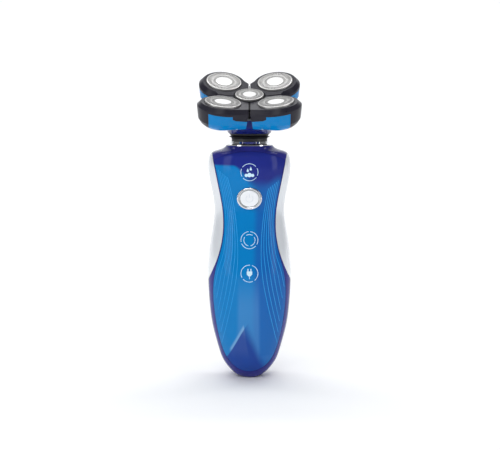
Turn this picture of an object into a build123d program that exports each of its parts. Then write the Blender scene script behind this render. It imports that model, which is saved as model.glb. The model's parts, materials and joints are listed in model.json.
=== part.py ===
"""Rotary electric shaver: a tall hourglass handle, a floating neck and a five-cutter shaving head.

Millimetres. +Z runs up the handle, -Y is the front with the power button, +X is the right side.
The origin is the mouth of the charging inlet, in the middle of the flat at the handle's lower end.
"""

import math
import os

from build123d import *

os.makedirs("parts", exist_ok=True)

UPWARD = (Align.CENTER, Align.CENTER, Align.MIN)
DOWNWARD = (Align.CENTER, Align.CENTER, Align.MAX)

# ---------------------------------------------------------------- driving dimensions
# Handle: height, half width, depth to the front and depth to the back of each cross-section.
HANDLE_STATIONS = [
    (0.0, 4.8, 4.6, 4.6),
    (1.2, 7.6, 6.8, 6.9),
    (3.0, 9.9, 8.6, 8.9),
    (6.0, 12.6, 10.8, 11.3),
    (10.0, 15.2, 12.8, 13.6),
    (16.5, 17.5, 14.8, 15.8),
    (30.0, 21.0, 17.6, 18.8),
    (44.0, 22.7, 18.9, 20.4),
    (58.0, 23.3, 19.0, 20.6),
    (71.0, 22.6, 18.0, 19.6),
    (85.0, 20.6, 16.2, 17.8),
    (95.0, 19.5, 15.2, 16.8),
    (105.0, 20.7, 15.8, 17.2),
    (116.0, 22.7, 17.0, 18.4),
    (121.0, 22.9, 17.2, 18.6),
    (125.5, 21.9, 16.8, 18.0),
]
SHOULDER_STATIONS = [
    (125.5, 21.9, 16.8, 18.0),
    (127.0, 20.6, 16.0, 17.0),
    (128.6, 16.2, 14.4, 14.8),
    (130.9, 12.8, 12.8, 12.8),
]
HANDLE_TOP = 130.9
SHELL_WALL = 1.8
CORE_FIRST_STATION = 3  # the cavity starts at this station
SEAM_Y = 5.0  # where the front and rear housings meet
SEAM_GAP = 0.12
REACH = 40.0  # longer than any half width, for cutting tools

# Power button, an ellipse on the front face.
BUTTON_Z = 102.6
BEZEL_RADII = (6.85, 6.05)
BEZEL_BORE_RADII = (5.35, 4.75)
BUTTON_RADII = (5.15, 4.55)
BEZEL_FRONT_Y = -16.8
BUTTON_FRONT_Y = -17.2
BUTTON_TRAVEL = 0.8

INDICATOR_Z = (61.6, 79.8, 117.0)
GUIDE_FRONT_Y = (-16.4, -14.6, -14.8)
SCREW_Z = (36.5, 110.0)

# Charging inlet.
INLET_RADIUS = 2.75
INLET_DEPTH = 4.0
SOCKET_RADIUS = 4.2
SOCKET_TOP = 12.0
CONTACT_BORE = 2.3

# Neck and its gimbal.
COLLAR_TOP = 133.1
NECK_BORE = 9.4
PIVOT_Z = 135.1
BOOT_TOP = 137.5
FLANGE_RADIUS = 11.7
GIMBAL_PIN = 0.7
PIN_CLEARANCE = 0.05
EAR_HALF_WIDTH = 1.5

# Shaving head. Depths run down from the centre cap's top, along the head's own axis.
HEAD_TILT = 22.5
HEAD_REACH = 26.1  # from the neck's pivot to the centre cap's top
POD_TILT = 9.0
POD_CENTRE = 14.2  # sideways and fore-and-aft offset of each outer cap
CAP_PROUD = 0.9  # how far a cap's face stands out of its frame
POD_LIFT = 1.8  # outer caps stand this much higher than the centre cap
LOBE_RADIUS = 11.8
BEVEL = 2.1
BEVEL_DROP = 2.2
FRAME_DEPTH = 3.5
GROOVE = 0.45  # half the gap between neighbouring pods
CUP_WALL = 1.15
LEG_INNER = 21.6
LEG_LOWEST = 10.9
HUB_BORE = 8.1
HUB_RADIUS = 8.6
HUB_STEP = 7.6  # the cutter's clearance below the centre cap
WEB_HALF = 0.2  # thin webs that close the grooves between the pods
WEB_TOP_DEPTH = 1.4
WEB_FRONT = 18.0
WEB_BACK = 14.5
WEB_SIDE = 15.0
POD_INNER_RADIUS = 8.85
CAP_RADIUS = 9.75
CENTRE_CAP_RADIUS = 7.85
CAP_CLEARANCE = 0.25
CAP_SHEET = 0.5
POD_HINGE_RADIUS = 10.2
POD_HINGE_DEPTH = 5.0
HINGE_PIN = 0.5
LUG_RADIUS = 0.9
LUG_LENGTH = 7.2
BRACKET_OFFSET = 4.9
BRACKET_WIDTH = 1.6
BRACKET_DROP = 0.5
CAP_HEIGHT = 2.9
CAP_LEDGE = 3.0
BLADES = 9
BLADE_HEIGHT = 1.3
CARRIER_THICKNESS = 1.2
SOCKET_LENGTH = 2.4
FIRST_ANGLE = 70  # where the lobe starts, from the notch at the head's side
FRONT_REACH = 21.3
BACK_NOTCH = 14.8
SIDE_NOTCH = 17.0
FOOT_GROOVE = 2.0
# Cup cross-sections below the frame: depth, and how far the outline is grown there.
CUP_SECTIONS = [(6.6, 1.6), (8.8, 0.4), (10.4, -1.2), (11.6, -3.4)]
CUP_LOWEST = CUP_SECTIONS[-1][0]
CORE_RADIUS = 18.5
CORE_LOBE = 5.9
CORE_ROOM = 0.8
TAB_CORNERS = [(-8.8, 2.0), (8.8, 2.0), (8.8, -3.4), (7.2, -4.5), (0, -6.4), (-7.2, -4.5), (-8.8, -3.4)]

# Gear train in the head.
GEAR_MODULE = 0.6
SUN_TEETH = 56
PLANET_TEETH = 14
GEAR_RADIUS = GEAR_MODULE * (SUN_TEETH + PLANET_TEETH) / 2
GEAR_PLATE_DEPTHS = (6.8, 7.6)
GEAR_DEPTHS = (7.8, 9.4)
GEAR_FLOOR_DEPTHS = (9.6, 10.4)
BACKLASH = 0.16
PRESSURE_ANGLE = math.radians(20)
ADDENDUM = 0.9
DEDENDUM = 1.25
DRIVE_HEX = 3.0  # across flats
DRIVE_BORE = 1.75
SUN_HEX_DEPTHS = (3.5, 5.3)
POD_HEX_DEPTHS = (2.6, 4.4)
SUN_SHAFT_DEPTHS = (9.4, 15.0)
SOCKET_TOP_DEPTH = 11.4
AXLE_RADIUS = 1.0
AXLE_LENGTH = 0.9

PODS = {
    "front_left": (-1, -1),
    "front_right": (1, -1),
    "rear_left": (-1, 1),
    "rear_right": (1, 1),
}

# ---------------------------------------------------------------- frames of reference
tilt = math.radians(HEAD_TILT)
head_axis = Vector(0, -math.sin(tilt), math.cos(tilt))
pivot = Vector(0, 0, PIVOT_Z)
face_plane = Plane(origin=pivot + head_axis * HEAD_REACH, x_dir=(1, 0, 0), z_dir=head_axis)


def depth_plane(depth):
    """The plane across the head at a depth below the centre cap's top."""
    return face_plane.offset(-depth)


def shifted(plane, x, y):
    """The same plane with its origin moved within it."""
    return Plane(origin=plane.from_local_coords((x, y, 0)), x_dir=plane.x_dir, z_dir=plane.z_dir)


def outward(side, row):
    """Unit vector from the head's axis towards one pod."""
    return (face_plane.x_dir * side + face_plane.y_dir * row).normalized()


def pod_plane(side, row):
    """The plane of one pod's top, which leans in towards the head's axis."""
    centre = face_plane.from_local_coords((side * POD_CENTRE, row * POD_CENTRE, POD_LIFT - CAP_PROUD))
    lean = math.radians(POD_TILT)
    normal = head_axis * math.cos(lean) - outward(side, row) * math.sin(lean)
    x_dir = face_plane.x_dir - normal * face_plane.x_dir.dot(normal)
    return Plane(origin=centre, x_dir=x_dir, z_dir=normal)


def hinge_plane(side, row):
    """A plane at one pod's hinge, with its normal along the hinge pin."""
    origin = depth_plane(POD_HINGE_DEPTH).origin + outward(side, row) * POD_HINGE_RADIUS
    return Plane(origin=origin, x_dir=outward(side, row), z_dir=outward(side, row).cross(head_axis))


def axis_of(plane):
    """The line through a plane's origin along its normal."""
    return Axis(plane.origin, plane.z_dir)


def half_profile(plane, points):
    """A closed polygon of (radius, height) points beside a plane's normal, ready to be revolved."""
    beside = Plane(origin=plane.origin, x_dir=plane.x_dir, z_dir=plane.x_dir.cross(plane.z_dir))
    with BuildSketch(beside) as profile:
        with BuildLine():
            Polyline(*points, close=True)
        make_face()
    return profile.sketch


def export(builder, name):
    """Labels a finished piece and writes it to its own file."""
    builder.part.label = name
    export_step(builder.part, f"parts/{name}.step")


# ---------------------------------------------------------------- handle: outer form and cavity
def handle_section(station, wall=0.0):
    """One elliptical cross-section of the handle, drawn in by a wall thickness."""
    height, half_width, front, back = station
    with BuildSketch(Plane.XY.offset(height)) as section:
        with Locations((0, (back - front) / 2)):
            Ellipse(half_width - wall, (front + back) / 2 - wall)
    return section.sketch


with BuildPart() as handle_form:
    loft([handle_section(station) for station in HANDLE_STATIONS])
    loft([handle_section(station) for station in SHOULDER_STATIONS])

with BuildPart() as handle_cavity:
    loft([handle_section(station, SHELL_WALL) for station in HANDLE_STATIONS[CORE_FIRST_STATION:]])
    with Locations((0, 0, HANDLE_STATIONS[-1][0] - 1)):
        Cylinder(NECK_BORE, REACH, align=UPWARD)

with BuildPart() as handle_skin:
    add(handle_form.part)
    add(handle_cavity.part, mode=Mode.SUBTRACT)
    with Locations((0, 0, -1)):
        Cylinder(SOCKET_RADIUS, SOCKET_TOP, align=UPWARD, mode=Mode.SUBTRACT)


def waist_line(inset=0.0):
    """Right-hand edge of the blue front, seen from the front: shoulder, waist and flare."""
    points = [(21.0, 128.5), (19.8, 122.0), (17.2, 108.8), (14.8, 95.0), (14.6, 84.0), (17.0, 71.3), (20.9, 61.0)]
    return [(x - inset, z) for x, z in points] + [(26.0, 49.0)]


def blue_front(inset=0.0):
    """Front-view area of the blue half of the handle. Below the flare it is wider than the handle."""
    top, bottom = HANDLE_TOP + 5, -5
    with BuildSketch(Plane.XZ) as area:
        for side in (-1, 1):
            with BuildLine():
                edge = Spline(*[(side * x, z) for x, z in waist_line(inset)])
                first, last = edge @ 0, edge @ 1
                Polyline(first, (side * (21.2 - inset), top), (0, top), (0, bottom), (last.X, bottom), last)
            make_face()
    return area.sketch


def panel_front(inset=0.0):
    """Front-view area of the bright panel set into the blue half."""
    right = [
        (19.7 - inset, 123.2),
        (16.7 - inset, 108.8),
        (14.3 - inset, 95.0),
        (14.1 - inset, 84.0),
        (16.4 - inset, 71.5),
        (18.9 - inset, 62.5),
        (20.3 - inset, 50.0),
        (19.2 - inset, 36.0),
        (16.2 - inset, 21.0),
        (11.0 - inset, 10.0 + inset),
        (0.0, 4.6 + inset),
    ]
    with BuildSketch(Plane.XZ) as area:
        for side in (-1, 1):
            with BuildLine():
                edge = Spline(*[(side * x, z) for x, z in right], tangents=[(-side * 0.25, -1), (-side, 0)])
                top = ThreePointArc((0, 128.2 - inset), (side * 10, 127.1 - inset), edge @ 0)
                Line(edge @ 1, top @ 0)
            make_face()
    return area.sketch


# ---------------------------------------------------------------- handle: housings
with BuildPart() as front_half:
    with Locations((0, SEAM_Y - REACH / 2, HANDLE_TOP / 2)):
        Box(2 * REACH, REACH, 2 * HANDLE_TOP)

with BuildPart() as front_panel:
    add(handle_skin.part)
    extrude(panel_front(SEAM_GAP), amount=REACH, mode=Mode.INTERSECT)
    with BuildSketch(Plane.XZ) as bezel_hole:
        with Locations((0, BUTTON_Z)):
            Ellipse(BEZEL_RADII[0] + PIN_CLEARANCE, BEZEL_RADII[1] + PIN_CLEARANCE)
    extrude(amount=REACH, mode=Mode.SUBTRACT)
export(front_panel, "front_panel")

with BuildPart() as handle_frame:
    add(handle_skin.part)
    add(front_half.part, mode=Mode.INTERSECT)
    extrude(blue_front(SEAM_GAP), amount=2 * REACH, both=True, mode=Mode.INTERSECT)
    extrude(panel_front(), amount=REACH, mode=Mode.SUBTRACT)
export(handle_frame, "handle_frame")

for side, side_name in ((-1, "left"), (1, "right")):
    with BuildPart() as side_trim:
        add(handle_skin.part)
        with Locations((side * REACH / 2, SEAM_Y - REACH / 2, HANDLE_TOP / 2)):
            Box(REACH, REACH, 2 * HANDLE_TOP, mode=Mode.INTERSECT)
        extrude(blue_front(), amount=2 * REACH, both=True, mode=Mode.SUBTRACT)
    export(side_trim, f"side_trim_{side_name}")

with BuildPart() as rear_housing:
    add(handle_skin.part)
    with Locations((0, SEAM_Y + SEAM_GAP + REACH / 2, HANDLE_TOP / 2)):
        Box(2 * REACH, REACH, 2 * HANDLE_TOP, mode=Mode.INTERSECT)
    with Locations(*[(0, 11.8 + 4, z) for z in SCREW_Z]):  # bosses that the chassis is screwed to
        Box(6, 8, 6)
    add(handle_form.part, mode=Mode.INTERSECT)
    with Locations(*[Plane(origin=(0, 11.0, z), z_dir=(0, 1, 0)) for z in SCREW_Z]):
        Cylinder(0.86, 4, align=UPWARD, mode=Mode.SUBTRACT)
export(rear_housing, "rear_housing")

# ---------------------------------------------------------------- power button
with BuildPart() as button_bezel:
    with BuildSketch(Plane.XZ.offset(-BEZEL_FRONT_Y)) as bezel_ring:
        with Locations((0, BUTTON_Z)):
            Ellipse(*BEZEL_RADII)
            Ellipse(*BEZEL_BORE_RADII, mode=Mode.SUBTRACT)
    extrude(amount=-3.4)
    fillet(button_bezel.edges().group_by(Axis.Y)[0], radius=0.5)
export(button_bezel, "button_bezel")

with BuildPart() as power_button:
    with BuildSketch(Plane.XZ.offset(-BUTTON_FRONT_Y)) as button_face:
        with Locations((0, BUTTON_Z)):
            Ellipse(*BUTTON_RADII)
    extrude(amount=-2.6)
    fillet(power_button.edges().group_by(Axis.Y)[0], radius=0.7)
    with Locations(Plane(origin=(0, BUTTON_FRONT_Y + 2.6, BUTTON_Z), z_dir=(0, 1, 0))):
        Cylinder(1.3, 1.2, align=UPWARD)
export(power_button, "power_button")

# ---------------------------------------------------------------- electronics
BOARD_FRONT_Y = -11.2
BOARD_BACK_Y = -10.2
with BuildPart() as circuit_board:
    with BuildSketch(Plane.XZ.offset(-BOARD_FRONT_Y)) as board_outline:
        with Locations((0, 83)):
            RectangleRounded(16, 72, 2)
        with Locations((0, 50), (0, 88)):
            Circle(1.05, mode=Mode.SUBTRACT)
    extrude(amount=BOARD_FRONT_Y - BOARD_BACK_Y)
export(circuit_board, "circuit_board")

with BuildPart() as tact_switch:
    with Locations((0, BOARD_FRONT_Y - 0.4, BUTTON_Z)):
        Box(4.6, 0.8, 4.6)
    with Locations(Plane(origin=(0, BOARD_FRONT_Y - 0.8, BUTTON_Z), z_dir=(0, -1, 0))):
        Cylinder(1.2, 0.4, align=UPWARD)
export(tact_switch, "tact_switch")

with BuildPart() as indicator_leds:
    with Locations(*[(0, BOARD_FRONT_Y - 0.4, z) for z in INDICATOR_Z]):
        Box(2.0, 0.8, 1.2)
export(indicator_leds, "indicator_leds")

with BuildPart() as light_guides:
    for z, front_y in zip(INDICATOR_Z, GUIDE_FRONT_Y):
        with Locations(Plane(origin=(0, BOARD_FRONT_Y - 1.0, z), z_dir=(0, -1, 0))):
            Cylinder(2.4, BOARD_FRONT_Y - 1.0 - front_y, align=UPWARD)
export(light_guides, "light_guides")

# ---------------------------------------------------------------- chassis, battery and motor
BATTERY_RADIUS = 7.1
BATTERY_Z = (32.2, 82.4)
BATTERY_Y = 1.5
MOTOR_RADIUS = 9.0
MOTOR_Z = (93.0, 117.0)

with BuildPart() as chassis:
    with Locations((0, 11.0, 72.0)):
        Box(18, 1.4, 92)
    with Locations((0, 0.05, 30.5), (0, 0.05, 85.0)):
        Box(18, 20.5, 2)
    with Locations((0, 0.5, 92.0)):
        Box(18, 19.6, 1.6)
    with Locations((0, 0, 92.0)):
        Cylinder(4, 2, mode=Mode.SUBTRACT)
    with Locations(*[Plane(origin=(0, 9.0, z), z_dir=(0, 1, 0)) for z in SCREW_Z]):
        Cylinder(0.9, 4, align=UPWARD, mode=Mode.SUBTRACT)
export(chassis, "chassis")

with BuildPart() as chassis_screws:
    with Locations(*[Plane(origin=(0, 10.3, z), z_dir=(0, -1, 0)) for z in SCREW_Z]):
        Cylinder(1.8, 1.0, align=UPWARD)
        Cylinder(0.85, 4.0, align=DOWNWARD)
export(chassis_screws, "chassis_screws")

with BuildPart() as battery:
    with Locations((0, BATTERY_Y, BATTERY_Z[0])):
        Cylinder(BATTERY_RADIUS, BATTERY_Z[1] - BATTERY_Z[0] - 1, align=UPWARD)
    with Locations((0, BATTERY_Y, BATTERY_Z[1] - 1)):
        Cylinder(2.6, 1, align=UPWARD)
export(battery, "battery")

with BuildPart() as battery_contacts:
    with Locations((0, BATTERY_Y, 31.7), (0, BATTERY_Y, 82.8)):
        Box(8, 6, 0.4)
    with Locations((0, BATTERY_Y - 2.5, 83.4)):
        Box(4, 1, 1.2)
export(battery_contacts, "battery_contacts")

with BuildPart() as motor:
    with Locations((0, 0, MOTOR_Z[0])):
        Cylinder(MOTOR_RADIUS, MOTOR_Z[1] - MOTOR_Z[0], align=UPWARD)
    fillet(motor.edges().filter_by(GeomType.CIRCLE), radius=1.0)
    with Locations((0, 0, MOTOR_Z[1])):
        Cylinder(3.0, 1.4, align=UPWARD)
export(motor, "motor")

with BuildPart() as motor_mount:
    with BuildSketch(Plane.XY.offset(MOTOR_Z[1])) as mount_outline:
        RectangleRounded(24, 19, 3)
        Circle(3.1, mode=Mode.SUBTRACT)
        with Locations((-6, 0), (6, 0)):
            Circle(0.85, mode=Mode.SUBTRACT)
    extrude(amount=1.4)
export(motor_mount, "motor_mount")

with BuildPart() as motor_screws:
    with Locations((-6, 0, MOTOR_Z[1] + 1.4), (6, 0, MOTOR_Z[1] + 1.4)):
        Cylinder(1.5, 0.9, align=UPWARD)
        Cylinder(0.8, 1.35, align=DOWNWARD)
export(motor_screws, "motor_screws")

with BuildPart() as shaft_seal:
    with BuildSketch(Plane.XY.offset(126.6)) as seal_outline:
        Circle(NECK_BORE - 0.02)
        Circle(2.6, mode=Mode.SUBTRACT)
    extrude(amount=1.6)
export(shaft_seal, "shaft_seal")

# ---------------------------------------------------------------- charging socket
with BuildPart() as charge_socket:
    Cylinder(SOCKET_RADIUS - 0.02, SOCKET_TOP, align=UPWARD)
    Cylinder(INLET_RADIUS, INLET_DEPTH, align=UPWARD, mode=Mode.SUBTRACT)
    Cylinder(CONTACT_BORE, SOCKET_TOP - 3, align=UPWARD, mode=Mode.SUBTRACT)
    with Locations((0, 0, SOCKET_TOP - 1)):
        Cylinder(6.5, 2.0, align=UPWARD)
export(charge_socket, "charge_socket")

with BuildPart() as inlet_contacts:
    with Locations((-1.1, 0, INLET_DEPTH + 0.6), (1.1, 0, INLET_DEPTH + 0.6)):
        Cylinder(0.5, SOCKET_TOP - 3 - INLET_DEPTH - 0.6, align=UPWARD)
export(inlet_contacts, "inlet_contacts")

# ---------------------------------------------------------------- motor's turning parts
DRIVE_BALL = 1.85
with BuildPart() as motor_shaft:
    with Locations((0, 0, MOTOR_Z[1] + 1.45)):
        Cylinder(1.0, 9.5, align=UPWARD)
export(motor_shaft, "motor_shaft")

with BuildPart() as drive_ball:
    with BuildSketch(Plane.XY.offset(PIVOT_Z - 2)) as hexagon:
        RegularPolygon(1.65, 6, major_radius=False)
    extrude(amount=4)
    with Locations(pivot):
        Sphere(DRIVE_BALL, mode=Mode.INTERSECT)
    with Locations((0, 0, 122.5)):
        Cylinder(2.3, 7.5, align=UPWARD)
    with Locations((0, 0, 130.0)):
        Cylinder(1.0, 4.6, align=UPWARD)
    with Locations((0, 0, 122.5)):
        Cylinder(1.02, 5.6, align=UPWARD, mode=Mode.SUBTRACT)
export(drive_ball, "drive_ball")

# ---------------------------------------------------------------- neck
with BuildPart() as neck_collar:
    revolve(
        half_profile(
            Plane.XY,
            [
                (8.3, 128.4),
                (NECK_BORE - 0.05, 128.4),
                (NECK_BORE - 0.05, HANDLE_TOP),
                (12.4, HANDLE_TOP),
                (12.4, HANDLE_TOP + 0.5),
                (10.6, HANDLE_TOP + 1.2),
                (10.2, COLLAR_TOP),
                (8.3, COLLAR_TOP),
            ],
        )
    )
export(neck_collar, "neck_collar")

with BuildPart() as neck_socket:
    revolve(
        half_profile(
            Plane.XY,
            [
                (7.6, COLLAR_TOP - 2.2),
                (8.2, COLLAR_TOP - 2.2),
                (8.2, COLLAR_TOP + 0.05),
                (9.9, COLLAR_TOP + 0.05),
                (9.9, COLLAR_TOP + 1.5),
                (8.4, COLLAR_TOP + 1.5),
                (8.4, COLLAR_TOP + 0.7),
                (7.6, COLLAR_TOP + 0.7),
            ],
        )
    )
    with Locations(*[(side * 7.0, 0, PIVOT_Z - 1.2) for side in (-1, 1)]):
        Box(1.8, 2 * EAR_HALF_WIDTH, 4.6)
    with Locations(Plane(origin=pivot, z_dir=(1, 0, 0))):
        Cylinder(GIMBAL_PIN + PIN_CLEARANCE, 20, mode=Mode.SUBTRACT)
export(neck_socket, "neck_socket")

with BuildPart() as neck_boot:
    bellows = [(9.2, 2.8), (10.0, 2.8), (10.0, 2.2), (9.4, 1.9), (10.6, 1.6), (11.3, 1.3), (10.4, 0.9)]
    bellows += [(9.8, 0.7), (11.0, 0.5), (11.0, 0.0), (9.4, 0.0), (9.2, 0.7), (8.8, 1.7)]
    revolve(half_profile(Plane.XY, [(radius, BOOT_TOP - 0.05 - drop) for radius, drop in bellows]))
export(neck_boot, "neck_boot")

with BuildPart() as gimbal_ring:
    with BuildSketch(Plane.XY.offset(PIVOT_Z - 1.0)) as gimbal_outline:
        Circle(5.9)
        Circle(4.4, mode=Mode.SUBTRACT)
    extrude(amount=2.0)
    for direction in ((1, 0, 0), (-1, 0, 0), (0, 1, 0), (0, -1, 0)):
        with Locations(Plane(origin=pivot + Vector(direction) * 5.2, z_dir=direction)):
            Cylinder(GIMBAL_PIN, 1.8, align=UPWARD)
export(gimbal_ring, "gimbal_ring")


# ---------------------------------------------------------------- head base and gear train
def clover(disc, lobe):
    """Outline around the gears: a disc for the sun gear with a lobe at each planet gear."""
    with BuildSketch() as outline:
        Circle(disc)
        with PolarLocations(GEAR_RADIUS, 4, start_angle=45):
            Circle(lobe)
    return outline.sketch


def on_plane(plane, sketch):
    """A sketch drawn on XY, carried to another plane."""
    return plane.location * sketch


BOWL_LOWEST = 14.6
BOWL_FOOT = 15.6
with BuildPart() as head_base:
    revolve(
        half_profile(
            face_plane,
            [
                (0, -GEAR_FLOOR_DEPTHS[0]),
                (CORE_RADIUS, -GEAR_FLOOR_DEPTHS[0]),
                (CORE_RADIUS, -11.0),
                (18.2, -12.4),
                (17.1, -13.7),
                (BOWL_FOOT, -BOWL_LOWEST),
                (0, -BOWL_LOWEST),
            ],
        ),
        axis=axis_of(face_plane),
    )
    with BuildSketch(depth_plane(BOWL_LOWEST)) as bowl_foot:
        Circle(BOWL_FOOT)
    with BuildSketch(Plane.XY.offset(BOOT_TOP)) as flange:
        Circle(FLANGE_RADIUS)
    loft(ruled=True)
    extrude(
        on_plane(depth_plane(GEAR_FLOOR_DEPTHS[1]), clover(CORE_RADIUS, CORE_LOBE)),
        amount=GEAR_FLOOR_DEPTHS[1] - GEAR_PLATE_DEPTHS[1],
    )
    # Gear chamber, open to the cover plate above.
    extrude(
        on_plane(depth_plane(GEAR_FLOOR_DEPTHS[0]), clover(CORE_RADIUS - 0.8, CORE_LOBE - 0.8)),
        amount=GEAR_FLOOR_DEPTHS[0] - GEAR_PLATE_DEPTHS[1],
        mode=Mode.SUBTRACT,
    )
    # Hollow bowl, with a tube left around the drive shaft.
    revolve(
        half_profile(
            face_plane,
            [(4.6, -11.4), (17.3, -11.4), (16.9, -12.4), (14.6, -14.2), (4.6, -14.2)],
        ),
        axis=axis_of(face_plane),
        mode=Mode.SUBTRACT,
    )
    with Locations(depth_plane(GEAR_FLOOR_DEPTHS[0])):
        Cylinder(DRIVE_BORE, 4, mode=Mode.SUBTRACT)
        with PolarLocations(GEAR_RADIUS, 4, start_angle=45):
            Cylinder(AXLE_RADIUS + PIN_CLEARANCE, 4, mode=Mode.SUBTRACT)
    with Locations(depth_plane(SOCKET_TOP_DEPTH - 0.2)):
        Cylinder(3.4, 20, align=DOWNWARD, mode=Mode.SUBTRACT)
    with Locations((0, 0, BOOT_TOP)):
        Cylinder(9.2, 2.6, align=UPWARD, mode=Mode.SUBTRACT)
        Cylinder(5.4, 5.0, align=UPWARD, mode=Mode.SUBTRACT)
    # Ears that hang on the gimbal's fore-and-aft pins.
    with Locations(*[(0, row * 6.6, PIVOT_Z + 2.1) for row in (-1, 1)]):
        Box(2 * EAR_HALF_WIDTH, 1.0, 6.8)
    with Locations(Plane(origin=pivot, z_dir=(0, 1, 0))):
        Cylinder(GIMBAL_PIN + PIN_CLEARANCE, 18, mode=Mode.SUBTRACT)
export(head_base, "head_base")

with BuildPart() as gear_plate:
    extrude(
        on_plane(depth_plane(GEAR_PLATE_DEPTHS[1]), clover(CORE_RADIUS, CORE_LOBE)),
        amount=GEAR_PLATE_DEPTHS[1] - GEAR_PLATE_DEPTHS[0],
    )
    for side, row in PODS.values():
        hinge = hinge_plane(side, row)
        with Locations(hinge.offset(BRACKET_OFFSET), hinge.offset(-BRACKET_OFFSET)):
            with Locations((0, -BRACKET_DROP)):
                Box(1.8, 2 * (0.8 + BRACKET_DROP), BRACKET_WIDTH)
        with Locations(hinge):
            Cylinder(LUG_RADIUS + 0.3, 2 * BRACKET_OFFSET - BRACKET_WIDTH, mode=Mode.SUBTRACT)
            Cylinder(HINGE_PIN + 0.01, 14, mode=Mode.SUBTRACT)
    with Locations(depth_plane(GEAR_PLATE_DEPTHS[0])):
        Cylinder(DRIVE_BORE, 4, mode=Mode.SUBTRACT)
        with PolarLocations(GEAR_RADIUS, 4, start_angle=45):
            Cylinder(DRIVE_BORE, 4, mode=Mode.SUBTRACT)
export(gear_plate, "gear_plate")

with BuildPart() as hinge_pins:
    with Locations(*[hinge_plane(side, row) for side, row in PODS.values()]):
        Cylinder(HINGE_PIN, 2 * BRACKET_OFFSET + BRACKET_WIDTH)
export(hinge_pins, "hinge_pins")


def gear_outline(teeth, phase):
    """Involute gear face on XY. The phase moves the first tooth round by that share of a pitch."""
    pitch_radius = GEAR_MODULE * teeth / 2
    base = pitch_radius * math.cos(PRESSURE_ANGLE)
    tip = pitch_radius + ADDENDUM * GEAR_MODULE
    root = pitch_radius - DEDENDUM * GEAR_MODULE
    half_tooth = (math.pi * GEAR_MODULE / 2 - BACKLASH) / (2 * pitch_radius)
    flank = []
    for radius in sorted({root, max(base, root), pitch_radius, (pitch_radius + tip) / 2, tip}):
        roll = math.acos(min(1.0, base / radius))
        swing = math.tan(PRESSURE_ANGLE) - PRESSURE_ANGLE - math.tan(roll) + roll
        flank.append((radius, half_tooth + swing))
    points = []
    for tooth in range(teeth):
        centre = 2 * math.pi * (tooth + phase) / teeth
        for radius, angle in flank:
            points.append((radius * math.cos(centre - angle), radius * math.sin(centre - angle)))
        for radius, angle in reversed(flank):
            points.append((radius * math.cos(centre + angle), radius * math.sin(centre + angle)))
    with BuildSketch() as outline:
        with BuildLine():
            Polyline(*points, close=True)
        make_face()
    return outline.sketch


def hexagon_on(plane, across_flats):
    """A hexagon on a plane."""
    with BuildSketch(plane) as outline:
        RegularPolygon(across_flats / 2, 6, major_radius=False)
    return outline.sketch


with BuildPart() as sun_gear:
    extrude(
        on_plane(depth_plane(GEAR_DEPTHS[1]), gear_outline(SUN_TEETH, 0)),
        amount=GEAR_DEPTHS[1] - GEAR_DEPTHS[0],
    )
    with Locations(depth_plane(SUN_SHAFT_DEPTHS[1])):
        Cylinder(DRIVE_BORE - PIN_CLEARANCE, SUN_SHAFT_DEPTHS[1] - GEAR_DEPTHS[0], align=UPWARD)
    with Locations(depth_plane(GEAR_DEPTHS[0])):
        Cylinder(1.3, GEAR_DEPTHS[0] - SUN_HEX_DEPTHS[1], align=UPWARD)
    extrude(hexagon_on(depth_plane(SUN_HEX_DEPTHS[1]), DRIVE_HEX), amount=SUN_HEX_DEPTHS[1] - SUN_HEX_DEPTHS[0])
export(sun_gear, "sun_gear")

with BuildPart() as drive_socket:
    with Locations(depth_plane(HEAD_REACH + 1.0)):
        Cylinder(3.1, HEAD_REACH + 1.0 - SOCKET_TOP_DEPTH, align=UPWARD)
        Cylinder(2.05, 6, align=UPWARD, mode=Mode.SUBTRACT)
        Cone(2.65, 2.05, 1.1, align=UPWARD, mode=Mode.SUBTRACT)  # lets the ball out as the head is pulled off
    extrude(hexagon_on(depth_plane(HEAD_REACH + 1.0), 4.1), amount=5, mode=Mode.SUBTRACT)
    with Locations(depth_plane(SUN_SHAFT_DEPTHS[1])):
        Cylinder(DRIVE_BORE - PIN_CLEARANCE, 20, align=UPWARD, mode=Mode.SUBTRACT)
export(drive_socket, "drive_socket")


# ---------------------------------------------------------------- caps and cutters
def cap_solid(plane, radius, proud):
    """A slotted cap's blank: a disc with two raised shaving tracks and a skirt, standing out by proud."""
    dip = proud - 0.2
    profile = [
        (0, dip),
        (0.27 * radius, dip),
        (0.29 * radius, proud),
        (0.58 * radius, proud),
        (0.60 * radius, dip),
        (0.64 * radius, dip),
        (0.66 * radius, proud),
        (radius - 0.6, proud),
        (radius - 0.15, proud - 0.2),
        (radius, proud - 0.7),
        (radius, proud - CAP_HEIGHT),
        (radius - CAP_SHEET, proud - CAP_HEIGHT),
        (radius - CAP_SHEET, proud - 0.8),
        (radius - CAP_SHEET - 0.3, proud - CAP_SHEET),
        (0, proud - CAP_SHEET),
    ]
    return revolve(half_profile(plane, profile), axis=axis_of(plane), mode=Mode.PRIVATE)


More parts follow.
